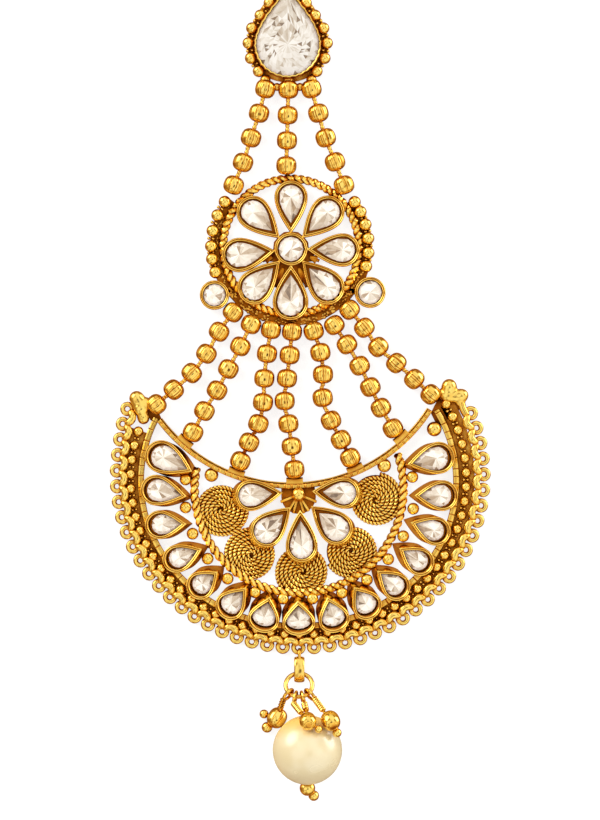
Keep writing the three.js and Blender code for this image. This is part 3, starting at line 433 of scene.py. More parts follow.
class Casting:
    """Surfaces in millimetres that are gathered and made into one piece."""

    def __init__(self):
        self.points, self.tones, self.faces, self.facets, self.count = [], [], [], [], 0

    def _store(self, points, tones, faces, facet=1.0):
        for face in faces:
            self.faces.append(face + self.count)
            self.facets.append(np.broadcast_to(facet, len(face)))
        self.points.append(points)
        self.tones.append(tones)
        self.count += len(points)

    def surface(self, points, tone=1.0, ring=False, tips=None):
        """Adds grids whose columns close round. Their rows close too if ring, and else end in tips.

        The faces are turned round where the volume that they enclose comes out negative.
        """
        grids = np.asarray(points, float)
        shape = grids.shape
        tones = np.broadcast_to(tone, shape[:-1]).reshape(-1, *shape[-3:-1])
        grids = grids.reshape(-1, *shape[-3:])
        copies, rows, columns = grids.shape[:3]
        quads = grid_faces(rows, columns, ring)
        corners = grids[0].reshape(-1, 3) - grids[0].reshape(-1, 3).mean(0)
        a, b, c, d = (corners[quads[:, k]] for k in range(4))
        volume = (np.einsum("ij,ij->i", a, np.cross(b, c)) + np.einsum("ij,ij->i", a, np.cross(c, d))).sum()
        inward = volume < 0
        if inward:
            quads = quads[:, ::-1]
        steps = (np.arange(copies) * rows * columns)[:, None, None]
        faces = [(quads[None] + steps).reshape(-1, 4)]
        vertices, shades = grids.reshape(-1, 3), tones.reshape(-1)
        if not ring:
            if tips is None:
                tips = np.stack([grids[:, 0].mean(1), grids[:, -1].mean(1)], 1)
            tips = np.asarray(tips, float).reshape(-1, 2, 3)
            around = np.arange(columns)
            for end, first in ((0, 0), (1, (rows - 1) * columns)):
                middle = (rows * columns + end) * copies + np.arange(copies)
                edge = first + steps[:, 0]
                fan = np.stack([
                    np.broadcast_to(middle[:, None], (copies, columns)),
                    edge + around, edge + (around + 1) % columns], -1).reshape(-1, 3)
                faces.append(fan[:, ::-1] if (end == 0) == inward else fan)
            vertices = np.concatenate([vertices, tips[:, 0], tips[:, 1]])
            shades = np.concatenate([shades, tones[:, 0].mean(1), tones[:, -1].mean(1)])
        self._store(vertices, shades, faces)

    def balls(self, centres, radius, size=BALL):
        """Balls, centre plus radius times the globe's directions, with painted shade: brighter on top than
        near the floor.
        """
        centres = np.asarray(centres, float)
        radius = np.broadcast_to(radius, centres.shape[:-1])[..., None, None, None]
        points = centres[..., None, None, :] + radius * globe(-78, 78, *size)
        tone = np.clip(0.62 + 0.55 * np.sin(np.radians(np.linspace(-78, 78, size[0]))), 0, 1)[:, None]
        self.surface(points, tone, tips=centres[..., None, :] + radius[..., 0] * POLES)

    def tube(self, points, radius, tone=1.0, sides=8):
        """A round wire through points."""
        path, _ = evenly(points, 0.25)
        self.surface(wire(path, radius, sides), tone)

    def hoop(self, path, thick, tone=1.0, sides=12):
        """A round wire that closes on itself."""
        self.surface(wire(path, thick, sides, ring=True), tone, ring=True)

    def rope(self, path, pitch, offset, thick, low, strands=2, steps=12, ring=False):
        """Twisted strands whose tone, a painted shade, runs from low between them to one on their crests."""
        surface, tone = twist(path, pitch, offset, thick, strands, steps, ring)
        self.surface(surface, low + (1 - low) * tone, ring=ring)

    def cup(self, outline, x, y, turn, foot, top, lean=0.0, rim=RIM):
        """A strip bent to an outline: rings of it, inset and lowered, and shifted by the lean at its foot.
        Each ring's tone is painted shade.
        """
        rings, tones, tips = [], [], []
        for depth, drop, tone in rim:
            height = foot if drop is None else top + drop
            shift = np.array([lean * (top - height) / (top - foot), 0.0])
            rings.append(raised(placed(inset(outline, depth) + shift, x, y, turn), height))
            tips.append(raised(placed(shift, x, y, turn), height))
            tones.append(np.full(len(outline), tone))
        self.surface(np.array(rings), np.array(tones), tips=np.array([tips[0], tips[-1]]))

    def bar(self, line, profile, degrees, notch=None):
        """A profile carried along an oval: out along the normal and up. A notch lowers it by up to 0.16 and
        darkens it with painted shade.
        """
        outs, heights, tones = (np.array(column) for column in zip(*profile))
        flat = np.stack([oval(line, degrees, out) for out in outs], 1)
        height = np.broadcast_to(heights, flat.shape[:-1]).copy()
        tone = np.broadcast_to(tones, height.shape).copy()
        if notch is not None:
            step = np.linalg.norm(np.diff(oval(line, degrees), axis=0), axis=1)
            along = np.concatenate([[0], np.cumsum(step)])
            cut = notch(along[:, None], outs[None, :], heights[None, :])
            height -= cut * 0.16
            # Painted shade in the notch.
            tone *= 1 - 0.75 * np.clip(cut, 0, 1)
        self.surface(raised(flat, height), tone)

    def plate(self, outline, low, high, tone):
        """A flat plate: its outline at two heights, and once more 3% smaller for a soft upper edge."""
        outline = np.asarray(outline, float)
        middle = outline.mean(0)
        inner = middle + (outline - middle) * 0.97
        self.surface(np.stack([raised(outline, low), raised(outline, high - 0.05), raised(inner, high)]), tone)

    def gem(self, rings, facets, low):
        """A cut stone: rings of corners from its girdle up to its table, and a point below."""
        rings = np.asarray(rings, float)
        rows, columns = rings.shape[:2]
        vertices = np.concatenate([rings.reshape(-1, 3), low[None], rings[-1].mean(0)[None]])
        around = np.arange(columns)
        after = (around + 1) % columns
        faces = [np.stack([after, around, np.full(columns, rows * columns)], -1)]
        shades = [np.full(columns, 0.5)]
        for row in range(rows - 1):
            here, above = row * columns, (row + 1) * columns
            faces.append(np.stack([here + around, here + after, above + around], -1))
            faces.append(np.stack([here + after, above + after, above + around], -1))
            shades += [facets[row, :, 0], facets[row, :, 1]]
        top = (rows - 1) * columns
        faces.append(np.stack([top + around, top + after, np.full(columns, rows * columns + 1)], -1))
        shades.append(facets[-1, :, 0])
        self._store(vertices, np.ones(len(vertices)), [np.concatenate(faces)], np.concatenate(shades))

    def drop_gem(self, front, half, back, x, y, turn, girdle, rise, seed):
        """A drop stone: a girdle of corners, a ring of facets between them and a point over the round end."""
        outline = drop_outline(front, half, back, 16)
        waist = 0.72 * (outline + np.roll(outline, -1, 0)) / 2
        rings = [
            raised(placed(shape, x, y, turn), girdle + rise * up)
            for shape, up in ((outline, 0.0), (waist, 0.62), (outline * 0.05, 1.0))]
        # Painted shade on the facets toward the tip, up to half a grey darker.
        brown = 0.5 * np.clip(outline[:, 0] / front, 0, 1) ** 1.5
        self.gem(rings, gem_greys(len(rings), seed, brown), raised(np.array([x, y]), girdle - 0.5))

    def round_gem(self, radius, x, y, girdle, rise, seed):
        """A round stone cut like the drops: its waist's corners stand between the girdle's."""
        around = np.degrees(ring_angles(12))
        rings = [
            raised(polar(radius * share, around + twist_by, (x, y)), girdle + rise * up)
            for share, up, twist_by in ((1.0, 0.0, 0), (0.72, 0.6, 15), (0.06, 1.0, 0))]
        self.gem(rings, gem_greys(len(rings), seed, np.zeros(12)), raised(np.array([x, y]), girdle - 0.5))

    def piece(self, name, finish, nodes=()):
        """Makes the mesh, its object and its finish, and lets the piece stand for the named solids."""
        vertices = (np.concatenate(self.points) * MM + SHIFT).astype(np.float32)
        corners = np.concatenate([face.ravel() for face in self.faces]).astype(np.int32)
        sizes = np.concatenate([np.full(len(face), face.shape[1]) for face in self.faces])
        starts = (np.cumsum(sizes) - sizes).astype(np.int32)
        slot = FINISH_SLOTS[finish]
        smooth = slot != "stone"
        mesh = bpy.data.meshes.new(name)
        mesh.vertices.add(len(vertices))
        mesh.vertices.foreach_set("co", vertices.ravel())
        mesh.loops.add(len(corners))
        mesh.loops.foreach_set("vertex_index", corners)
        mesh.polygons.add(len(starts))
        mesh.polygons.foreach_set("loop_start", starts)
        mesh.polygons.foreach_set("use_smooth", np.full(len(starts), smooth))
        mesh.update(calc_edges=True)
        mesh.validate()
        if smooth:
            mesh.set_sharp_from_angle(angle=math.radians(38.0))
        rise = mesh.attributes.new("rise", "FLOAT", "POINT")
        rise.data.foreach_set("value", np.concatenate(self.tones).astype(np.float32))
        facet = mesh.attributes.new("facet", "FLOAT", "FACE")
        facet.data.foreach_set("value", np.concatenate(self.facets).astype(np.float32))
        mesh.materials.append(finish_of(finish))
        piece = bpy.data.objects.new(name, mesh)
        bpy.context.scene.collection.objects.link(piece)
        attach(piece, BODY)
        if nodes:
            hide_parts(*nodes)


def gem_greys(rows, seed, brown):
    """A grey for each facet, drawn from a fixed seed, as painted reflection and shade, less a painted shade
    near the tip.
    """
    draw = np.random.default_rng(seed)
    size = (rows, len(brown), 2)
    greys = draw.choice([1.0, 0.95, 0.86, 0.74, 0.55, 0.3], size=size, p=[.32, .24, .18, .13, .08, .05])
    return np.clip(greys - brown[None, :, None], 0.05, 1.0)


# Finishes
class Socket:
    """A shader socket that adds Math nodes when it is used in an expression."""

    def __init__(self, graph, source):
        self.graph, self.source = graph, source

    def _math(self, operation, *values):
        return self.graph.add("ShaderNodeMath", {"operation": operation}, dict(enumerate(values)))

    def __add__(self, other):
        return self._math("ADD", self, other)

    def __sub__(self, other):
        return self._math("SUBTRACT", self, other)

    def __mul__(self, other):
        return self._math("MULTIPLY", self, other)

    def __pow__(self, other):
        return self._math("POWER", self, other)

    def __rsub__(self, other):
        return self._math("SUBTRACT", other, self)

    __radd__, __rmul__ = __add__, __mul__

    def held(self):
        """The value kept from 0 to 1."""
        return self.graph.add("ShaderNodeClamp", {}, {0: self})


class Graph:
    """The shader nodes of a material or of the sky, made one by one."""

    def __init__(self, owner, shader="Principled BSDF"):
        owner.use_nodes = True
        self.owner, self.tree = owner, owner.node_tree
        self.shader = self.tree.nodes[shader]

    def add(self, kind, settings, inputs, output=0):
        """A node of a kind with its settings, then the values or links of its sockets."""
        node = self.tree.nodes.new(kind)
        stops = settings.pop("stops", None)
        for key, value in settings.items():
            setattr(node, key, value)
        if stops:
            while len(node.color_ramp.elements) < len(stops):
                node.color_ramp.elements.new(1.0)
            for element, (place, colour) in zip(node.color_ramp.elements, stops):
                element.position, element.color = place, (*colour, 1.0)
        for key, value in inputs.items():
            self.feed(node.inputs[key], value)
        return Socket(self, node.outputs[output])

    def feed(self, socket, value):
        """Links the socket to another, or sets its value."""
        if isinstance(value, Socket):
            self.tree.links.new(value.source, socket)
        else:
            socket.default_value = value

    def place(self):
        return self.add("ShaderNodeTexCoord", {}, {}, "Object")

    def cloud(self, scale, detail=2.0):
        """Soft clouds over Object coordinates, with so many to a metre."""
        inputs = {"Vector": self.place(), "Scale": scale, "Detail": detail}
        return self.add("ShaderNodeTexNoise", {}, inputs, "Fac")

    def ramp(self, value, stops):
        return self.add("ShaderNodeValToRGB", {"stops": stops}, {"Fac": value}, "Color")

    def mix(self, share, under, over, blend="MIX"):
        """Two colours blended by a share of the second."""
        settings = {"data_type": "RGBA", "blend_type": blend}
        return self.add("ShaderNodeMix", settings, {0: share, 6: under, 7: over}, 2)

    def vector(self, operation, inputs, output=0):
        return self.add("ShaderNodeVectorMath", {"operation": operation}, inputs, output)

    def mesh_value(self, name):
        return self.add("ShaderNodeAttribute", {"attribute_name": name}, {}, "Fac")

    def bump(self, height, strength, distance):
        inputs = {"Strength": strength, "Distance": distance, "Height": height}
        return self.add("ShaderNodeBump", {}, inputs, "Normal")

    def finish(self, **inputs):
        """Feeds the shader's own sockets, and gives back the material or sky."""
        for key, value in inputs.items():
            self.feed(self.shader.inputs[key.replace("_", " ")], value)
        return self.owner


def gold(name, colours, depth=1.0, smooth=0.16, rough=0.42, grain=0.0, mottle=0.3):
    """Yellow metal with painted shade and highlight: orange and brown where it is deep, bright where it rises,
    as its colour follows the open sky over each point and the mesh's tone.
    """
    g = Graph(bpy.data.materials.new(name))
    # Painted shade: ambient occlusion darkens the colour in hollows, in creases and between parts.
    sky_seen = g.add("ShaderNodeAmbientOcclusion", {"samples": 6}, {"Distance": 1.0 * MM}, "AO")
    stain = g.cloud(700.0, 1.0)
    open_sky = (sky_seen * 1.3 - 0.05).held() ** depth
    # The mesh's tone of painted shade and highlight, times the open sky, with random mottling on top, picks
    # the colour.
    high = (g.mesh_value("rise") * open_sky * 0.93 + 0.05 + (stain - 0.5) * mottle).held()
    colour = g.ramp(high, [
        (0.0, tuple(colours.painted_shade_gold)), (0.45, tuple(colours.shade_edge_gold)), (0.78, tuple(colours.gold)),
        (1.0, tuple(colours.painted_highlight_gold))])
    g.finish(Base_Color=colour, Metallic=1.0, Roughness=(rough - high * (rough - smooth)).held())
    if grain:
        g.finish(Normal=g.bump(g.cloud(2500.0, 1.0), grain, 0.02 * MM))
    return g.owner


def cut_stone(name, colours, scale, clear):
    """Foil-backed cut glass with painted light: each facet has its own grey of painted reflection and shade,
    broken up by painted facets that seem to show through it.
    """
    g = Graph(bpy.data.materials.new(name))
    inner = g.add("ShaderNodeTexVoronoi", {"feature": "F1"}, {"Vector": g.place(), "Scale": scale}, "Color")
    broken = g.add("ShaderNodeSeparateColor", {}, {"Color": inner})
    # Painted reflection and shade: the facet's grey and the painted see-through facets pick the colour.
    light = (g.mesh_value("facet") * 0.92 + broken * 0.14 - 0.02).held()
    colour = g.ramp(light, [
        (0.0, tuple(colours.dark_stone)), (0.3, tuple(colours.warm_stone)), (0.6, (0.56, 0.485, 0.39)),
        (0.8, (0.72, 0.67, 0.59)), (1.0, tuple(colours.clear_stone))])
    colour = g.mix(1.0, colour, (*clear, 1.0), "MULTIPLY")
    return g.finish(Base_Color=colour, Roughness=0.06, IOR=1.5, Normal=g.bump(broken, 0.08, 0.05 * MM))


def pearl_lustre(colours):
    """Cream with soft clouds, and a painted golden reflection of the beads above it, which grows toward them.
    """
    g = Graph(bpy.data.materials.new("pearl_lustre"))
    cloud = g.cloud(140.0)
    base = g.ramp(cloud, [(0.0, tuple(colours.pearl_shade)), (1.0, tuple(colours.pearl))])
    up = g.add("ShaderNodeSeparateXYZ", {}, {0: g.place()}, "Y")
    toward_beads = (up - (PEARL_Y * MM + SHIFT[1])) * (1 / (PEARL_RADIUS * MM))
    # Painted reflection of the gold beads, strongest on the side toward them.
    painted_gold_reflection = (toward_beads * 1.9 - 0.5 + (cloud - 0.5) * 0.8).held()
    colour = g.mix(painted_gold_reflection * 0.9, base, (0.92, 0.60, 0.14, 1.0))
    return g.finish(Base_Color=colour, Roughness=0.27 + (cloud - 0.5) * 0.06, IOR=2.2)


# Each finish and the record's slot that it belongs to
FINISH_SLOTS = {
    "gold": "gold", "bead": "gold", "cast": "gold", "plate": "gold", "hook": "hook_metal", "stone": "stone",
    "crown_stone": "stone", "pearl": "pearl"}
FINISHES = {}


def finish_of(kind):
    """A finish by its short name. All are made when the first is asked for."""
    if not FINISHES:
        colours = bpy.context.scene.jhoomar_colours
        FINISHES.update(
            gold=gold("polished_gold", colours),
            bead=gold("bead_gold", colours, depth=0.9, smooth=0.1, rough=0.3),
            cast=gold("cast_gold", colours, depth=1.1, smooth=0.2, rough=0.45, grain=0.03, mottle=0.45),
            plate=gold("brown_plate", colours, depth=0.8, smooth=0.35, rough=0.6, grain=0.35, mottle=0.6),
            hook=gold("hook_gold", colours, smooth=0.2, rough=0.4),
            stone=cut_stone("cut_stone", colours, 1500.0, (1.0, 1.0, 1.0)),
            crown_stone=cut_stone("crown_cut_stone", colours, 900.0, (0.80, 0.81, 0.83)),
            pearl=pearl_lustre(colours))
    return FINISHES[kind]


# Crown, hook and strands
def crown_line(radius, low, pitch):
    """Points an equal pitch apart on the right of a drop: an arc, and the straight line from it to the tip."""
    tangent = 90 - math.degrees(math.acos(1 / CROWN_SLOPE))
    arc = raised(polar(radius, np.linspace(low, tangent, 40)), 0.0)
    line, _ = evenly(np.concatenate([arc, [[0.0, radius * CROWN_SLOPE, 0.0]]]), pitch)
    return line[:, :2]


def crown_pair(points):
    """The points and their mirror images, about the crown's middle."""
    return np.concatenate([points, points * [-1, 1]]) + CROWN


def build_crown():
    """A notched bezel, and balls at an equal pitch on the drop line round it with grains between them."""
    bright, dark, tiny = Casting(), Casting(), Casting()
    x, y = CROWN
    up = math.pi / 2
    front, half = CROWN_WALL
    outline = drop_outline(front, half, half, 128)
    notched = outline * (1 + 0.009 * np.sin(np.arange(len(outline)) * 2 * np.pi / 4))[:, None]
    bright.cup(notched, x, y, up, 0.4, 2.75, rim=CROWN_RIM)
    right = crown_line(CROWN_BORDER, -42.5, 2.17)[:-1]
    bright.balls(raised(crown_pair(right), 1.25), 0.9, LARGE_BALL)
    gaps = (right[:-1] + right[1:]) / 2
    for out in (-0.42, 0.30):
        tiny.balls(raised(crown_pair(gaps + out * unit(gaps)), 1.15), 0.27, GRAIN)
    back = drop_outline(6.25 * CROWN_SLOPE, 6.2, 5.6, 72)
    dark.plate(placed(back, x, y, up), 0.0, 0.55, 0.75)
    bright.hoop(ring_path((x, y + 5.15 * CROWN_SLOPE + 2.2, 1.0), 0.35, count=20), 0.3, 0.8, sides=8)
    tip = y + CROWN_PLATE * CROWN_SLOPE
    bright.hoop(ring_path((x, tip + 1.15, LINK_HEIGHT), LINK_RADIUS), LINK_THICK)
    neck = [(x, tip - 1.1, 0.45), (x, tip - 0.4, 0.9), (x, tip - 0.25, 1.6)]
    bright.tube(smooth_route(neck, 14), 0.42, sides=10)
    first = np.array([STRANDS[f"upper_strand_{side}"][0] for side in ("left", "middle", "right")])
    joins = np.concatenate([(first[:-1] + first[1:]) / 2 + [0.0, 0.35], first + [0.0, 1.35]])
    dark.balls(raised(joins, 1.2), np.array([0.62, 0.62, 0.8, 0.8, 0.8]), (9, 14))
    bright.piece("crown_bezel", "gold", ["crown_setting"])
    tiny.piece("crown_grains", "bead")
    dark.piece("crown_plate", "cast")
    build_crown_stone()


def build_crown_stone():
    """A brilliant drop: rings of its outline, turned by half a facet, whose greys mirror left and right. The
    greys are painted reflection and shade.
    """
    casting = Casting()
    count = 36
    front, half = CROWN_STONE
    outline = drop_outline(front, half, half, count)
    rings = []
    for k, (share, up) in enumerate(CROWN_RINGS):
        shape = outline * share
        if k % 2:
            shape = (shape + np.roll(shape, -1, 0)) / 2
        rings.append(raised(placed(shape, *CROWN, math.pi / 2), 2.35 + 0.85 * up))
    turns = np.degrees(np.abs(np.arctan2(outline[:, 1], outline[:, 0])))
    draw = np.random.default_rng(11)
    greys = draw.choice([1.0, 0.96, 0.9, 0.8, 0.62], size=(len(rings), count, 2), p=[.3, .26, .2, .14, .1])
    # Painted shade toward the tip.
    toward_tip = np.clip((75 - turns) / 45, 0, 1)
    greys = greys - toward_tip[None, :, None] * draw.uniform(0.0, 0.34, greys.shape)
    shares = np.array([share for share, _ in CROWN_RINGS])
    for share, turn in CROWN_DARK:
        row = int(np.argmin(np.abs(shares - 0.07 - share)))
        greys[row, int(np.argmin(np.abs(turns[:count // 2] - turn))), row % 2] = 0.12
    mirrored = (-np.arange(count) - 1) % count
    right = np.arange(count) < count // 2
    facets = np.where(right[None, :, None], greys, greys[:, mirrored])
    casting.gem(rings, np.clip(facets, 0, 1), np.array([*CROWN, 1.7]))
    casting.piece("crown_brilliant", "crown_stone", ["crown_stone"])


def build_hook():
    """A superellipse of power 0.5, carried along an arc and its straight ends, with an eye at its foot."""
    casting = Casting()
    x, bar_top = CROWN[0], HOOK_FOOT + HOOK_SHANK
    arc = polar(HOOK_BEND, np.linspace(180, 0, 30), (x + HOOK_BEND, bar_top))
    flat = np.concatenate([[[x, HOOK_FOOT]], arc, [[x + 2 * HOOK_BEND, bar_top - HOOK_RETURN]]])
    path, _ = evenly(raised(flat, LINK_HEIGHT), 0.35)
    _, side, rise = frames(path)
    cos, sin = np.cos(ring_angles(20)), np.sin(ring_angles(20))
    across, up = 0.7 * np.sign(cos) * np.abs(cos) ** 0.5, 0.5 * np.sign(sin) * np.abs(sin) ** 0.5
    section = across[:, None] * side[:, None, :] + up[:, None] * rise[:, None, :]
    casting.surface(path[:, None, :] + section, 0.95)
    casting.hoop(ring_path((x, HOOK_FOOT - 1.4, LINK_HEIGHT), LINK_RADIUS, 90), LINK_THICK)
    casting.piece("hook_bar", "hook", ["hair_hook"])


def build_strand(name, route, flutes):
    """Fluted beads, and a neck between each two that swells twice: radius plus 0.1 times the sine's size."""
    casting = Casting()
    centres = raised(np.array(route), BEAD_RADIUS)
    ahead = np.gradient(centres, axis=0)
    draw = np.random.default_rng(len(name) * 31 + len(route) + ord(name[-1]))
    points, tone, tips = fluted_beads(centres, ahead, BEAD_RADIUS, BEAD_HALF, flutes, draw)
    casting.surface(points, tone, tips=tips)
    reach = unit(ahead) * (BEAD_HALF - 0.12)
    share = np.linspace(0, 1, 9)[None, :, None]
    necks = between((centres + reach)[:-1, None, :], (centres - reach)[1:, None, :], share)
    swell = 0.24 + 0.1 * np.abs(np.sin(2 * np.pi * share[..., 0]))
    casting.surface(wire(necks, swell, 12), 0.9)
    casting.piece(name + "_beads", "bead", [name])


# Medallion
def build_medallion(sizes):
    """Cups in a ring, the rope round them, and the plates, balls and grains outside it."""
    cups, cast, dark, dots = Casting(), Casting(), Casting(), Casting()
    for turn, reach, half in PETALS:
        outline = drop_outline(reach - 2.35, half, half)
        cups.cup(outline, *polar(reach, turn), math.radians(turn + 180), 0.0, 2.2)
    circle = polar(CENTRE_CUP, np.degrees(ring_angles(48)))
    cups.cup(circle, 0.0, 0.0, 0.0, 0.0, 2.25)
    for x, y, radius in SIDE_CUPS:
        cups.cup(circle * (radius / CENTRE_CUP), x, y, 0.0, 0.0, 2.2)
    ring = raised(polar(RING_RADIUS, np.degrees(ring_angles(200)), RING_CENTRE), 0.95)
    cast.rope(ring, sizes.rope_pitch / MM, 0.29, 0.40, 0.35, ring=True)
    for start, stop, edge in RING_PLATES:
        out = edge - RING_RADIUS
        profile = [(-0.5, 0.0, 0.2), (out, 0.0, 0.3), (out, 0.42, 0.5), (out - 0.1, 0.5, 0.5), (0.2, 0.5, 0.2),
                   (-0.4, 0.45, 0.4)]
        dark.bar((*RING_CENTRE, RING_RADIUS, RING_RADIUS), profile, np.linspace(start, stop, 60))
    web_reach = np.stack([np.full(8, 2.7), WEB_REACH], -1).ravel()
    dark.plate(polar(web_reach, 22.5 * np.arange(16)), 0.0, 0.5, 0.3)
    for reach, turns in SIDE_BALLS:
        turns = np.array(turns, float)
        cast.balls(raised(polar(reach, turns, RING_CENTRE), 1.2), 0.93, LARGE_BALL)
        for out in (-0.25, 0.4):
            grains = polar(reach + out, (turns[:-1] + turns[1:]) / 2, RING_CENTRE)
            dots.balls(raised(grains, 0.95), 0.26, GRAIN)
    draw = np.random.default_rng(7)
    for low, high, near, far, count in RING_GRAINS:
        spots = polar(draw.uniform(near, far, count), draw.uniform(low, high, count), RING_CENTRE)
        dark.balls(raised(spots, 0.52), draw.uniform(0.16, 0.28, count), (5, 8))
    for k, far in ((4, 4.6), (5, 6.2), (6, 6.2), (7, 4.6)):
        for lean in (-5.5, 0.0, 5.5):
            turn = 45 * k + 22.5 + lean
            foot, head = polar(3.1, turn - lean * 0.9), polar(far * (0.92 if lean else 1.0), turn)
            dark.tube(raised([foot, head], 0.62), 0.24, 0.8)
    cups.piece("medallion_cups", "gold", ["medallion_frame"])
    cast.piece("medallion_rope", "bead")
    dots.piece("medallion_grains", "bead")
    dark.piece("medallion_plate", "plate")


def build_medallion_stones():
    """The petals' drop stones, and round ones in the centre cup and the side cups."""
    gems = Casting()
    for k, (turn, reach, half) in enumerate(PETALS):
        size = (half + 1.35, half - 0.72, half - STONE_GAP)
        gems.drop_gem(*size, *polar(reach - 0.05, turn), math.radians(turn + 180), 1.75, 0.5, 10 + k)
    gems.round_gem(CENTRE_CUP - STONE_GAP, 0.0, 0.0, 1.8, 0.5, 30)
    for k, ((x, y, _), radius) in enumerate(zip(SIDE_CUPS, (1.66, 1.76))):
        gems.round_gem(radius, x, y, 1.75, 0.5, 31 + k)
    gems.piece("medallion_stones", "stone", [
        *(f"petal_stone_{k + 1}" for k in range(8)),
        "medallion_centre_stone", "side_stone_left", "side_stone_right"])


# Crescent
def cup_place(row):
    """A cup's middle, the angle and distance from there to its tip, its half width and its depth behind."""
    x, y, tip_x, tip_y, half, back = row
    return x, y, math.atan2(tip_y - y, tip_x - x), math.hypot(tip_x - x, tip_y - y), half, back


def build_crescent_cups():
    """Fifteen cups and their stones. A cup's foot leans toward its tip, most where the tip points up."""
    cups, gems = Casting(), Casting()
    for k, row in enumerate(CRESCENT_CUPS):
        x, y, turn, front, half, back = cup_place(row)
        lean = 0.9 + 0.7 * abs(math.sin(turn))
        cups.cup(drop_outline(front, half, back), x, y, turn, 0.0, CUP_TOP, lean)
        x, y = x + 0.42 * math.cos(turn), y + 0.42 * math.sin(turn)
        gems.drop_gem(front - 1.15, half - STONE_GAP, back - STONE_GAP, x, y, turn, 2.0, 0.5, 50 + k)
    cups.piece("crescent_cups", "gold", ["crescent_frame"])
    gems.piece("crescent_stones", "stone", [f"crescent_stone_{k + 1}" for k in range(15)])


def build_fan():
    """Five cups that lean back from the middle, their stones, and the plate, ball and rays between them."""
    cups, cast, gems, dark = Casting(), Casting(), Casting(), Casting()
    for k, row in enumerate(FAN_CUPS):
        x, y, turn, front, half, back = cup_place(row)
        cups.cup(drop_outline(front, half, back), x, y, turn, FAN_FOOT, FAN_TOP, lean=-0.6)
        x, y = x - 0.1 * math.cos(turn), y - 0.1 * math.sin(turn)
        gems.drop_gem(front - 1.6, half - STONE_GAP, back - 0.6, x, y, turn, 2.8, 0.5, 80 + k)
    cups.piece("fan_cups", "gold", ["crescent_frame"])
    gems.piece("fan_stones", "stone", [f"fan_stone_{k + 1}" for k in range(5)])
    x, y = FAN_CENTRE
    cast.balls([(x, y + 0.3, 1.85)], 1.08, LARGE_BALL)
    arc = polar(2.6, np.linspace(-185, 5, 24), (x, y))
    dark.plate(np.concatenate([arc, [[x + 2.4, -35.55], [x - 2.6, -35.6]]]), 0.0, 1.2, 0.35)
    for turn in (-158, -122, -106, -74, -58, -22):
        ray = raised(polar(np.array([0.9, 2.9]), turn, (x, y + 0.3)), np.array([1.35, 1.6]))
        cast.tube(ray, 0.22, 0.8)
    cast.piece("fan_middle", "cast")
    dark.piece("fan_plate", "plate")


def build_coils(sizes):
    """Flat spirals of two-strand wire: the radius shrinks evenly with the angle. Under each lies a dark disc
    of painted shade.
    """
    casting, under = Casting(), Casting()
    share = np.linspace(0, 1, 500)
    reach = between(COIL_RADIUS - 0.08, 0.28, share)
    for k, (x, y) in enumerate(COILS):
        angle = 360 * COIL_TURNS * share + 70 * k
        path = raised(polar(reach, angle if k % 2 else -angle, (x, y)), 0.72 + 0.16 * np.sin(np.pi * share))
        casting.rope(path, sizes.coil_pitch / MM, 0.165, 0.185, 0.25, steps=10)
        # A dark disc in the deepest tone under the coil, painted shade that shows in the gaps between its
        # turns.
        under.plate(polar(COIL_RADIUS - 0.25, np.degrees(ring_angles(32)), (x, y)), 0.35, 0.5, 0.06)
    under.piece("coil_shade_backs", "plate")
    casting.piece("wire_coils", "bead", ["crescent_frame"])


def rail_notch(along, out, height):
    """One narrow cut each pitch, as a bell, with the pitch swaying by 0.3 times the sine of the way."""
    line = np.exp(-((np.mod(along + 0.3 * np.sin(along), RAIL_NOTCH) - RAIL_NOTCH / 2) / 0.055) ** 2)
    return 0.75 * line * (height > 1.0)


def edge_notch(along, out, height):
    """Two narrow cuts each pitch on the outer half of the edge's top, as bells."""
    first, second = (np.exp(-((np.mod(along, EDGE_NOTCH) - place) / 0.05) ** 2) for place in (0.4, 0.62))
    return (first + second) * (out > -0.2) * (height > 1.0) * 0.55


def build_crescent_frame(sizes):
    """The rails, the gallery's plate, the rope arc, and the balls, horns and pads soldered on them."""
    cast, dark, bright = Casting(), Casting(), Casting()
    arc = raised(polar(ROPE_RADIUS, np.linspace(169, 379, 200), ROPE_CENTRE), 0.95)
    bright.rope(arc, sizes.rope_pitch / MM * 1.12, 0.32, 0.40, 0.35)
    cast.bar(RAIL, RAIL_PROFILE, np.linspace(154.5, 389, 1500), rail_notch)
    cast.bar(EDGE, EDGE_PROFILE, np.linspace(-143, -32.5, 1100), edge_notch)
    dark.bar(BORDER, GALLERY_PROFILE, np.linspace(162, 388.5, 240))
    cast.balls(raised(TIP_BALLS, 1.0), 0.9, LARGE_BALL)
    joins = np.array(JOIN_BALLS)
    cast.balls(joins, joins[:, 2], LARGE_BALL)
    for parts in HORNS:
        points, tips = skin(parts)
        # Painted shade: the horns are darker toward the floor and lighter higher up.
        cast.surface(points, np.clip(0.6 + 0.3 * points[..., 2], 0.3, 1.0), tips=tips)
    cast.surface(wire(smooth_route(HORN_TAIL, 20), 0.58, 12), 0.95)
    # The left horn's plate is painted shadow.
    for outline in HORN_PLATES:
        dark.plate(outline, 0.0, 0.5, 0.4)
    for number in (2, 3, 4, 5, 6):
        add_pad(cast, *STRANDS[f"lower_strand_{number}"][-1])
    cast.piece("crescent_rails", "cast", ["crescent_frame"])
    bright.piece("crescent_rope", "bead", ["crescent_frame"])
    dark.piece("gallery_plate", "plate")


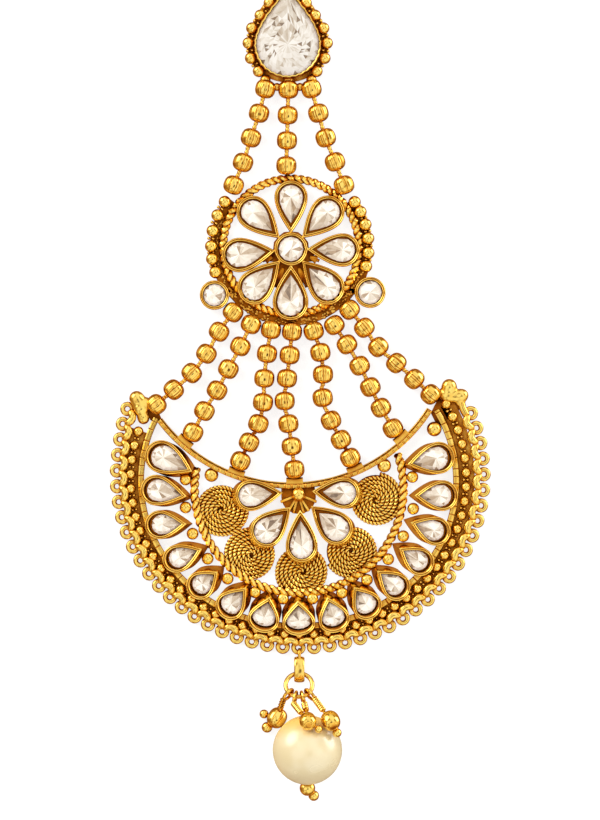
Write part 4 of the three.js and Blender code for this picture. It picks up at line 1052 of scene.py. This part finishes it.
def add_pad(casting, bead_x, bead_y):
    """A block of solder on the concave edge under a strand's last bead: a short bar from bead to edge."""
    x, y, radius, _ = EDGE
    turn = math.degrees(math.atan2(bead_y - y, bead_x - x))
    reach = math.hypot(bead_x - x, bead_y - y) + BEAD_HALF - radius
    half = math.degrees(1.3 / radius)
    profile = [(reach - 0.15, 0.2, 0.2), (0.1, 0.2, 0.2), (0.1, 1.7, 0.6), (-0.45, 1.75, 0.78),
               (reach + 0.05, 1.6, 0.62), (reach - 0.12, 1.2, 0.45)]
    casting.bar(EDGE, profile, np.linspace(turn - half, turn + half, 12))


def build_border(sizes):
    """A row of small balls at an equal pitch on the gallery's oval, with two grains between each two."""
    beads, grains = Casting(), Casting()
    path, _ = evenly(raised(oval(BORDER, np.linspace(162.5, 388.5, 2000)), 1.3), sizes.border_pitch / MM)
    beads.balls(path, 0.78)
    middle = (path[:-1, :2] + path[1:, :2]) / 2
    away = unit(middle - np.array(BORDER[:2]))
    for out in (-0.30, 0.26):
        grains.balls(raised(middle + out * away, 1.05), 0.27, GRAIN)
    beads.piece("border_balls", "bead", ["bead_border"])
    grains.piece("border_grains", "bead")


def build_chain(sizes):
    """Flat rings side by side, and upright links that bend from one ring's hole into the next.

    A link's arc is 0.95 times its share along the chain, 1.14 less 0.6 times the share squared inward, and
    1 less 0.42 times the share's fourth power up, with the share from -1 to 1.
    """
    rings, links = Casting(), Casting()
    fine = np.linspace(157.5, 381.5, 2000)
    swell = 0.55 * np.exp(-((fine - 157) / 9.0) ** 2) - 0.08
    path, _ = evenly(raised(oval(CHAIN, fine, swell), 0.75), sizes.link_pitch / MM)
    circle = raised(polar(1.0, np.degrees(ring_angles(20))), 0.0)
    rings.hoop(path[:, None, :] + 0.72 * circle, sizes.link_wire / MM, sides=10)
    middle = (path[:-1] + path[1:]) / 2
    ahead = unit(path[1:] - path[:-1])
    inward = np.stack([-ahead[:, 1], ahead[:, 0], np.zeros(len(ahead))], -1)
    share = np.linspace(-1, 1, 15)[None, :, None]
    arcs = middle[:, None, :] + share * 0.95 * ahead[:, None, :] \
        + inward[:, None, :] * (1.14 - 0.6 * share ** 2) \
        + np.array([0, 0, 1.0]) * (1.0 - 0.42 * share ** 4)
    thick = sizes.bar_wire / MM * (1 - 0.2 * share[..., 0] ** 6)
    # Painted shade: the links darken toward their ends, where they dip into the rings.
    links.surface(wire(arcs, thick, 12), 1 - 0.35 * share ** 4)
    rings.piece("chain_rings", "gold", ["edge_chain"])
    links.piece("chain_links", "gold", ["edge_chain"])


# Drop
def jump_radial(degrees):
    """The direction from the tilted ring's middle to its circle at an angle."""
    turn, lean = math.radians(degrees), math.radians(JUMP_TILT)
    return np.array([math.cos(turn), math.sin(turn) * math.cos(lean), -math.sin(turn) * math.sin(lean)])


def add_wrapped_wire(casting, degrees, end):
    """An eye round the jump ring, and a shank with a few wraps down to the bead."""
    radial, lean = jump_radial(degrees), math.radians(JUMP_TILT)
    normal = np.array([0, math.sin(lean), math.cos(lean)])
    hold = np.array(JUMP_CENTRE) + (JUMP_RADIUS + 0.3) * radial
    angles = ring_angles(24)[:, None]
    casting.hoop(hold + 0.95 * (np.cos(angles) * radial - np.sin(angles) * normal), 0.24, 0.9, sides=8)
    shank = between(hold + 0.95 * radial, np.array(end), np.linspace(0, 1, 12)[:, None])
    casting.surface(wire(shank, 0.22, 8), 0.9)
    casting.rope(shank[:7], 0.5, 0.3, 0.2, 0.5, strands=1)


def add_bail():
    """A flat strip bent to an upright loop, a flat oval carried round an oval, and the ring that links it."""
    casting = Casting()
    x, y, z = BAIL_MIDDLE
    angles = ring_angles(48)
    path = np.stack([np.full(48, x), y + 1.72 * np.cos(angles), z + 0.95 * np.sin(angles)], -1)
    ahead = unit(np.roll(path, -1, 0) - np.roll(path, 1, 0))
    side = np.array([1.0, 0.0, 0.0])
    rise = np.cross(ahead, side)
    around = ring_angles(16)[:, None]
    section = 0.775 * np.cos(around) * side + 0.25 * np.sin(around) * rise[:, None, :]
    casting.surface(path[:, None, :] + section, 0.95, ring=True)
    angles = ring_angles(32)
    link = np.stack([np.full(32, x), y + 2.15 + 0.85 * np.cos(angles), z - 0.1 + 0.62 * np.sin(angles)], -1)
    casting.hoop(link, 0.24, 0.75, sides=10)
    casting.piece("bail_strip", "gold", ["bail"])


def add_small_drop(name, degrees, bead, radius, along, flutes, tails):
    """A wired bead with an end ring and one or two little tails."""
    casting = Casting()
    add_wrapped_wire(casting, degrees, bead)
    bead, along = np.array(bead), unit(np.array(along))
    draw = np.random.default_rng(flutes)
    points, tone, tips = fluted_beads(bead[None], along[None], radius, radius * 1.08, flutes, draw)
    casting.surface(points, tone, tips=tips)
    side = unit(np.cross([1.0, 0.0, 0.0], along))
    around = ring_angles(20)[:, None]
    round_end = np.cos(around) * side + np.sin(around) * np.cross(along, side)
    casting.hoop(bead + 0.93 * radius * along + 0.42 * radius * round_end, 0.16, 0.8, sides=8)
    for *end, size in tails:
        casting.tube([bead, end], 0.26, 0.8)
        casting.balls([end], size)
    casting.piece(f"drop_beads_{name}_gold", "bead", [f"drop_beads_{name}"])


def add_pearl():
    """A drilled ball spun about its pin: radius times (cosine of swing along it, sine of swing round it)."""
    casting, body = Casting(), Casting()
    along = np.array([0.0, math.cos(PEARL_TILT), math.sin(PEARL_TILT)])
    centre = np.array([PEARL_X, PEARL_Y, PEARL_RADIUS])
    side = np.array([1.0, 0.0, 0.0])
    rise = np.cross(side, along)
    hole = math.asin(0.4 / PEARL_RADIUS)
    swing = np.linspace(hole, np.pi - hole, 60)[:, None, None]
    around = ring_angles(72)[:, None]
    body.surface(centre + PEARL_RADIUS * 0.997 * (
        np.cos(swing) * along + np.sin(swing) * (np.cos(around) * side + np.sin(around) * rise)))
    body.piece("pearl_body", "pearl", ["pearl"])
    add_wrapped_wire(casting, -76, centre + along * (PEARL_RADIUS + 0.4))
    pin = along * (PEARL_RADIUS + 0.6)
    casting.tube([centre + pin, centre - pin], 0.24)
    cap = centre - along * (PEARL_RADIUS + 1.11)
    casting.balls([cap], 1.17, (13, 24))
    casting.tube([cap, PEARL_TAIL], 0.28, 0.85)
    casting.balls([PEARL_TAIL], 0.8, LARGE_BALL)
    casting.balls([centre + along * (PEARL_RADIUS + 0.1)], 0.75)
    casting.piece("pearl_pin_gold", "bead", ["pearl_pin"])


def build_drop():
    """The jump ring, the bail above it, and the little drops and the pearl that hang from it."""
    metal = Casting()
    metal.hoop(ring_path(JUMP_CENTRE, JUMP_RADIUS, JUMP_TILT, 48), 0.33)
    metal.piece("jump_ring_wire", "gold", ["jump_ring"])
    add_bail()
    for drop in SMALL_DROPS:
        add_small_drop(*drop)
    add_pearl()


# Studio
def stage_object(name, points, faces, material):
    """A mesh that belongs to the studio and not to the jewel."""
    mesh = bpy.data.meshes.new(name)
    mesh.from_pydata(points, [], faces)
    mesh.materials.append(material)
    thing = bpy.data.objects.new(name, mesh)
    thing.visible_glossy = False
    bpy.context.scene.collection.objects.link(thing)
    return thing


def build_studio():
    """A white floor and backdrop, the sky that the metal mirrors, two soft lamps and the camera."""
    scene = bpy.context.scene
    scene.view_settings.view_transform = "Standard"
    paper = Graph(bpy.data.materials.new("paper_white"))
    tint = paper.ramp(paper.cloud(600.0), [(0.3, (0.27, 0.27, 0.27)), (0.7, (0.29, 0.29, 0.29))])
    white = (1.0, 1.0, 1.0, 1.0)
    paper.finish(
        Base_Color=tint, Roughness=0.9, Specular_IOR_Level=0.0, Emission_Color=white, Emission_Strength=0.80)
    floor_size, floor_drop = 3.0, 0.02 * MM
    corners = [(x * floor_size, y * floor_size, -floor_drop) for x, y in ((-1, -1), (1, -1), (1, 1), (-1, 1))]
    stage_object("floor", corners, [(0, 1, 2, 3)], paper.owner)
    glow = Graph(bpy.data.materials.new("backdrop_white"))
    glow.finish(Base_Color=(0.0, 0.0, 0.0, 1.0), Emission_Color=white, Emission_Strength=0.95)
    dome = 6.0 * globe(0, 85, 12, 48) - [0.0, 0.0, 0.3]
    backdrop = stage_object("backdrop", dome.reshape(-1, 3).tolist(), grid_faces(12, 48).tolist(), glow.owner)
    backdrop.visible_diffuse = backdrop.visible_shadow = backdrop.visible_transmission = False
    scene.world = studio_sky()
    for name, place, size, power, colour in (
            ("key", (-0.45, 0.35, 0.75), 0.30, 3.6, (1.0, 0.98, 0.95)),
            ("fill", (0.6, -0.1, 0.55), 0.25, 1.6, (1.0, 0.97, 0.92))):
        lamp = bpy.data.lights.new(name, "AREA")
        lamp.size, lamp.energy, lamp.color = size, power, colour
        light = bpy.data.objects.new(name, lamp)
        light.location = place
        light.visible_glossy = False
        light.rotation_euler = (-light.location).to_track_quat("-Z", "Y").to_euler()
        scene.collection.objects.link(light)
    add_camera(scene)


# Patches of the sky: direction, how many fit in one unit along each axis, and colour
SKY_PATCHES = [
    ((0.15, -0.16, 0.976), (5.6, 5.6, 5.6), (0.10, 0.04, 0.015)),
    ((-0.727, 0.614, 0.306), (3.6, 2.2, 3.0), (3.5, 3.45, 3.3)),
    ((0.886, 0.464, 0.0), (3.6, 2.2, 3.0), (3.5, 3.45, 3.3)),
]


def studio_sky():
    """A broken white sky with two soft boxes and a small dark spot, and warm brown below the horizon.

    A patch covers what lies within about one unit of its direction, once the way there is stretched.
    """
    g = Graph(bpy.data.worlds.new("studio_sky"), "Background")
    way = g.add("ShaderNodeTexCoord", {}, {}, "Generated")
    height = g.add("ShaderNodeSeparateXYZ", {}, {0: way}, "Z") * 0.5 + 0.5
    plain = g.ramp(height, [
        (0.0, (0.36, 0.15, 0.028)), (0.12, (0.50, 0.24, 0.07)), (0.30, (0.70, 0.45, 0.21)),
        (0.46, (0.80, 0.64, 0.44)), (0.60, (0.95, 0.89, 0.80)), (0.75, (1.0, 0.98, 0.95)),
        (1.0, (1.0, 1.0, 1.0))])
    panel = g.add("ShaderNodeTexNoise", {}, {"Vector": way, "Scale": 1.5, "Detail": 0.0}, "Fac")
    overhead = ((height - 0.78) * 6).held() * 0.25
    shade = g.ramp(panel + overhead, [(0.43, (0.46, 0.31, 0.16)), (0.55, (1.06, 1.06, 1.06))])
    lit = g.mix(1.0, plain, shade, "MULTIPLY")
    for middle, stretch, colour in SKY_PATCHES:
        away = g.vector("MULTIPLY", {0: g.vector("SUBTRACT", {0: way, 1: middle}), 1: stretch})
        inside = ((1.25 - g.vector("LENGTH", {0: away}, "Value")) * 2.2).held()
        lit = g.mix(inside, lit, (*colour, 1.0))
    return g.finish(Color=lit, Strength=1.02)


def add_camera(scene):
    """A long lens straight above, whose frame is the photograph's: its height in points times a point."""
    distance, jewel_height = 0.9, 0.002
    lens = bpy.data.cameras.new("camera")
    lens.sensor_fit = "VERTICAL"
    lens.sensor_height = 24.0
    lens.lens = lens.sensor_height * (distance - jewel_height) / (FRAME_HEIGHT * POINT * MM)
    lens.clip_start, lens.clip_end = 0.01, 20.0
    view = bpy.data.objects.new("camera", lens)
    view.location = (1.35 * MM + SHIFT[0], -24.15 * MM + SHIFT[1], distance)
    scene.collection.objects.link(view)
    scene.camera = view


# Add-on
def length(name, words, default, low):
    """A length that is written here in millimetres and kept in metres."""
    return bpy.props.FloatProperty(
        name=name, description=words, default=default * MM, min=low * MM, unit="LENGTH", precision=5)


def colour(name, words, default):
    return bpy.props.FloatVectorProperty(
        name=name, description=words, subtype="COLOR", size=3, min=0.0, max=1.0, default=default)


class JhoomarSizes(bpy.types.PropertyGroup):
    """Sizes of what repeats on the jewel."""

    flutes: bpy.props.IntProperty(
        name="Flutes", description="Grooves round each strand bead", default=24, min=1)
    rope_pitch: length("Rope pitch", "One turn of the thick twisted wires", 2.1, 0.5)
    coil_pitch: length("Coil pitch", "One turn of the coils' thin twisted wire", 1.15, 0.3)
    border_pitch: length("Border pitch", "From one of the border's balls to the next", 2.19, 1.7)
    link_pitch: length("Link pitch", "From one of the chain's rings to the next", 2.36, 1.5)
    link_wire: length("Link wire", "Half the thickness of the chain's rings", 0.375, 0.1)
    bar_wire: length("Bar wire", "Half the thickness of the chain's upright links", 0.57, 0.1)


class JhoomarColours(bpy.types.PropertyGroup):
    """Colours of the jewel's finishes."""

    # The four gold colours are painted light and shade, picked by each point's tone: painted highlight on top,
    # painted shade at the edge of a hollow and deep in it.
    gold: colour("Gold", "The metal where light falls on it", (0.95, 0.565, 0.09))
    painted_highlight_gold: colour("Bright gold", "The metal on its highest places", (1.0, 0.74, 0.18))
    shade_edge_gold: colour("Gold edge", "The metal where it turns into a hollow", (0.57, 0.18, 0.010))
    painted_shade_gold: colour("Hollow", "The metal deep in a hollow", (0.125, 0.022, 0.002))
    # The three stone colours are painted light: a facet full of reflected light, a painted reflection of the
    # cup, and painted shade.
    clear_stone: colour("Stone", "A facet full of light", (0.86, 0.835, 0.79))
    warm_stone: colour("Warm stone", "A facet that shows the cup", (0.38, 0.28, 0.19))
    dark_stone: colour("Dark stone", "A facet with no light", (0.13, 0.09, 0.065))
    pearl: colour("Pearl", "The pearl's body", (0.70, 0.635, 0.43))
    pearl_shade: colour("Pearl shade", "The warmer clouds in the pearl", (0.69, 0.585, 0.34))


class JHOOMAR_OT_crown(bpy.types.Operator):
    """Build the crown stone, its bezel and its border of balls"""

    bl_idname = "jhoomar.crown"
    bl_label = "Crown"

    def execute(self, context):
        build_crown()
        return {"FINISHED"}


class JHOOMAR_OT_hook(bpy.types.Operator):
    """Build the hook that holds the jewel in the hair"""

    bl_idname = "jhoomar.hook"
    bl_label = "Hair hook"

    def execute(self, context):
        build_hook()
        return {"FINISHED"}


class JHOOMAR_OT_strands(bpy.types.Operator):
    """Build the strings of fluted beads"""

    bl_idname = "jhoomar.strands"
    bl_label = "Strands"

    def execute(self, context):
        for name, route in STRANDS.items():
            build_strand(name, route, context.scene.jhoomar_sizes.flutes)
        return {"FINISHED"}


class JHOOMAR_OT_medallion(bpy.types.Operator):
    """Build the flower's cups, rope ring and balls"""

    bl_idname = "jhoomar.medallion"
    bl_label = "Medallion"

    def execute(self, context):
        build_medallion(context.scene.jhoomar_sizes)
        return {"FINISHED"}


class JHOOMAR_OT_medallion_stones(bpy.types.Operator):
    """Build the flower's stones"""

    bl_idname = "jhoomar.medallion_stones"
    bl_label = "Medallion stones"

    def execute(self, context):
        build_medallion_stones()
        return {"FINISHED"}


class JHOOMAR_OT_crescent_frame(bpy.types.Operator):
    """Build the rails, rope arc, horns and balls"""

    bl_idname = "jhoomar.crescent_frame"
    bl_label = "Crescent frame"

    def execute(self, context):
        build_crescent_frame(context.scene.jhoomar_sizes)
        return {"FINISHED"}


class JHOOMAR_OT_crescent_cups(bpy.types.Operator):
    """Build the crescent's fifteen cups and their stones"""

    bl_idname = "jhoomar.crescent_cups"
    bl_label = "Crescent cups"

    def execute(self, context):
        build_crescent_cups()
        return {"FINISHED"}


class JHOOMAR_OT_coils(bpy.types.Operator):
    """Build the five flat coils of twisted wire"""

    bl_idname = "jhoomar.coils"
    bl_label = "Coils"

    def execute(self, context):
        build_coils(context.scene.jhoomar_sizes)
        return {"FINISHED"}


class JHOOMAR_OT_fan(bpy.types.Operator):
    """Build the fan's five cups, their stones and its middle"""

    bl_idname = "jhoomar.fan"
    bl_label = "Fan"

    def execute(self, context):
        build_fan()
        return {"FINISHED"}


class JHOOMAR_OT_border(bpy.types.Operator):
    """Build the row of small balls"""

    bl_idname = "jhoomar.border"
    bl_label = "Border"

    def execute(self, context):
        build_border(context.scene.jhoomar_sizes)
        return {"FINISHED"}


class JHOOMAR_OT_chain(bpy.types.Operator):
    """Build the chain round the crescent's edge"""

    bl_idname = "jhoomar.chain"
    bl_label = "Chain"

    def execute(self, context):
        build_chain(context.scene.jhoomar_sizes)
        return {"FINISHED"}


class JHOOMAR_OT_drop(bpy.types.Operator):
    """Build the bail, jump ring, little drops and pearl"""

    bl_idname = "jhoomar.drop"
    bl_label = "Drop"

    def execute(self, context):
        build_drop()
        return {"FINISHED"}


class JHOOMAR_OT_studio(bpy.types.Operator):
    """Build the floor, backdrop, lights and camera"""

    bl_idname = "jhoomar.studio"
    bl_label = "Studio"

    def execute(self, context):
        build_studio()
        return {"FINISHED"}


OPERATORS = [
    JHOOMAR_OT_crown, JHOOMAR_OT_hook, JHOOMAR_OT_strands, JHOOMAR_OT_medallion, JHOOMAR_OT_medallion_stones,
    JHOOMAR_OT_crescent_frame, JHOOMAR_OT_crescent_cups, JHOOMAR_OT_coils, JHOOMAR_OT_fan, JHOOMAR_OT_border,
    JHOOMAR_OT_chain, JHOOMAR_OT_drop, JHOOMAR_OT_studio]


class JHOOMAR_PT_panel(bpy.types.Panel):
    """Lists the jewel's sizes, colours and pieces"""

    bl_idname = "JHOOMAR_PT_panel"
    bl_label = "Jhoomar"
    bl_space_type = "VIEW_3D"
    bl_region_type = "UI"
    bl_category = "Jhoomar"

    def draw(self, context):
        scene = context.scene
        for group in (scene.jhoomar_sizes, scene.jhoomar_colours):
            for key in type(group).__annotations__:
                self.layout.prop(group, key)
        for kind in OPERATORS:
            self.layout.operator(kind.bl_idname)


CLASSES = [JhoomarSizes, JhoomarColours, *OPERATORS, JHOOMAR_PT_panel]


def register():
    for kind in CLASSES:
        bpy.utils.register_class(kind)
    bpy.types.Scene.jhoomar_sizes = bpy.props.PointerProperty(type=JhoomarSizes)
    bpy.types.Scene.jhoomar_colours = bpy.props.PointerProperty(type=JhoomarColours)


def unregister():
    del bpy.types.Scene.jhoomar_colours
    del bpy.types.Scene.jhoomar_sizes
    for kind in reversed(CLASSES):
        bpy.utils.unregister_class(kind)


def main():
    register()
    for kind in OPERATORS:
        getattr(bpy.ops.jhoomar, kind.bl_idname.split(".")[1])()


if __name__ == "__main__":
    main()
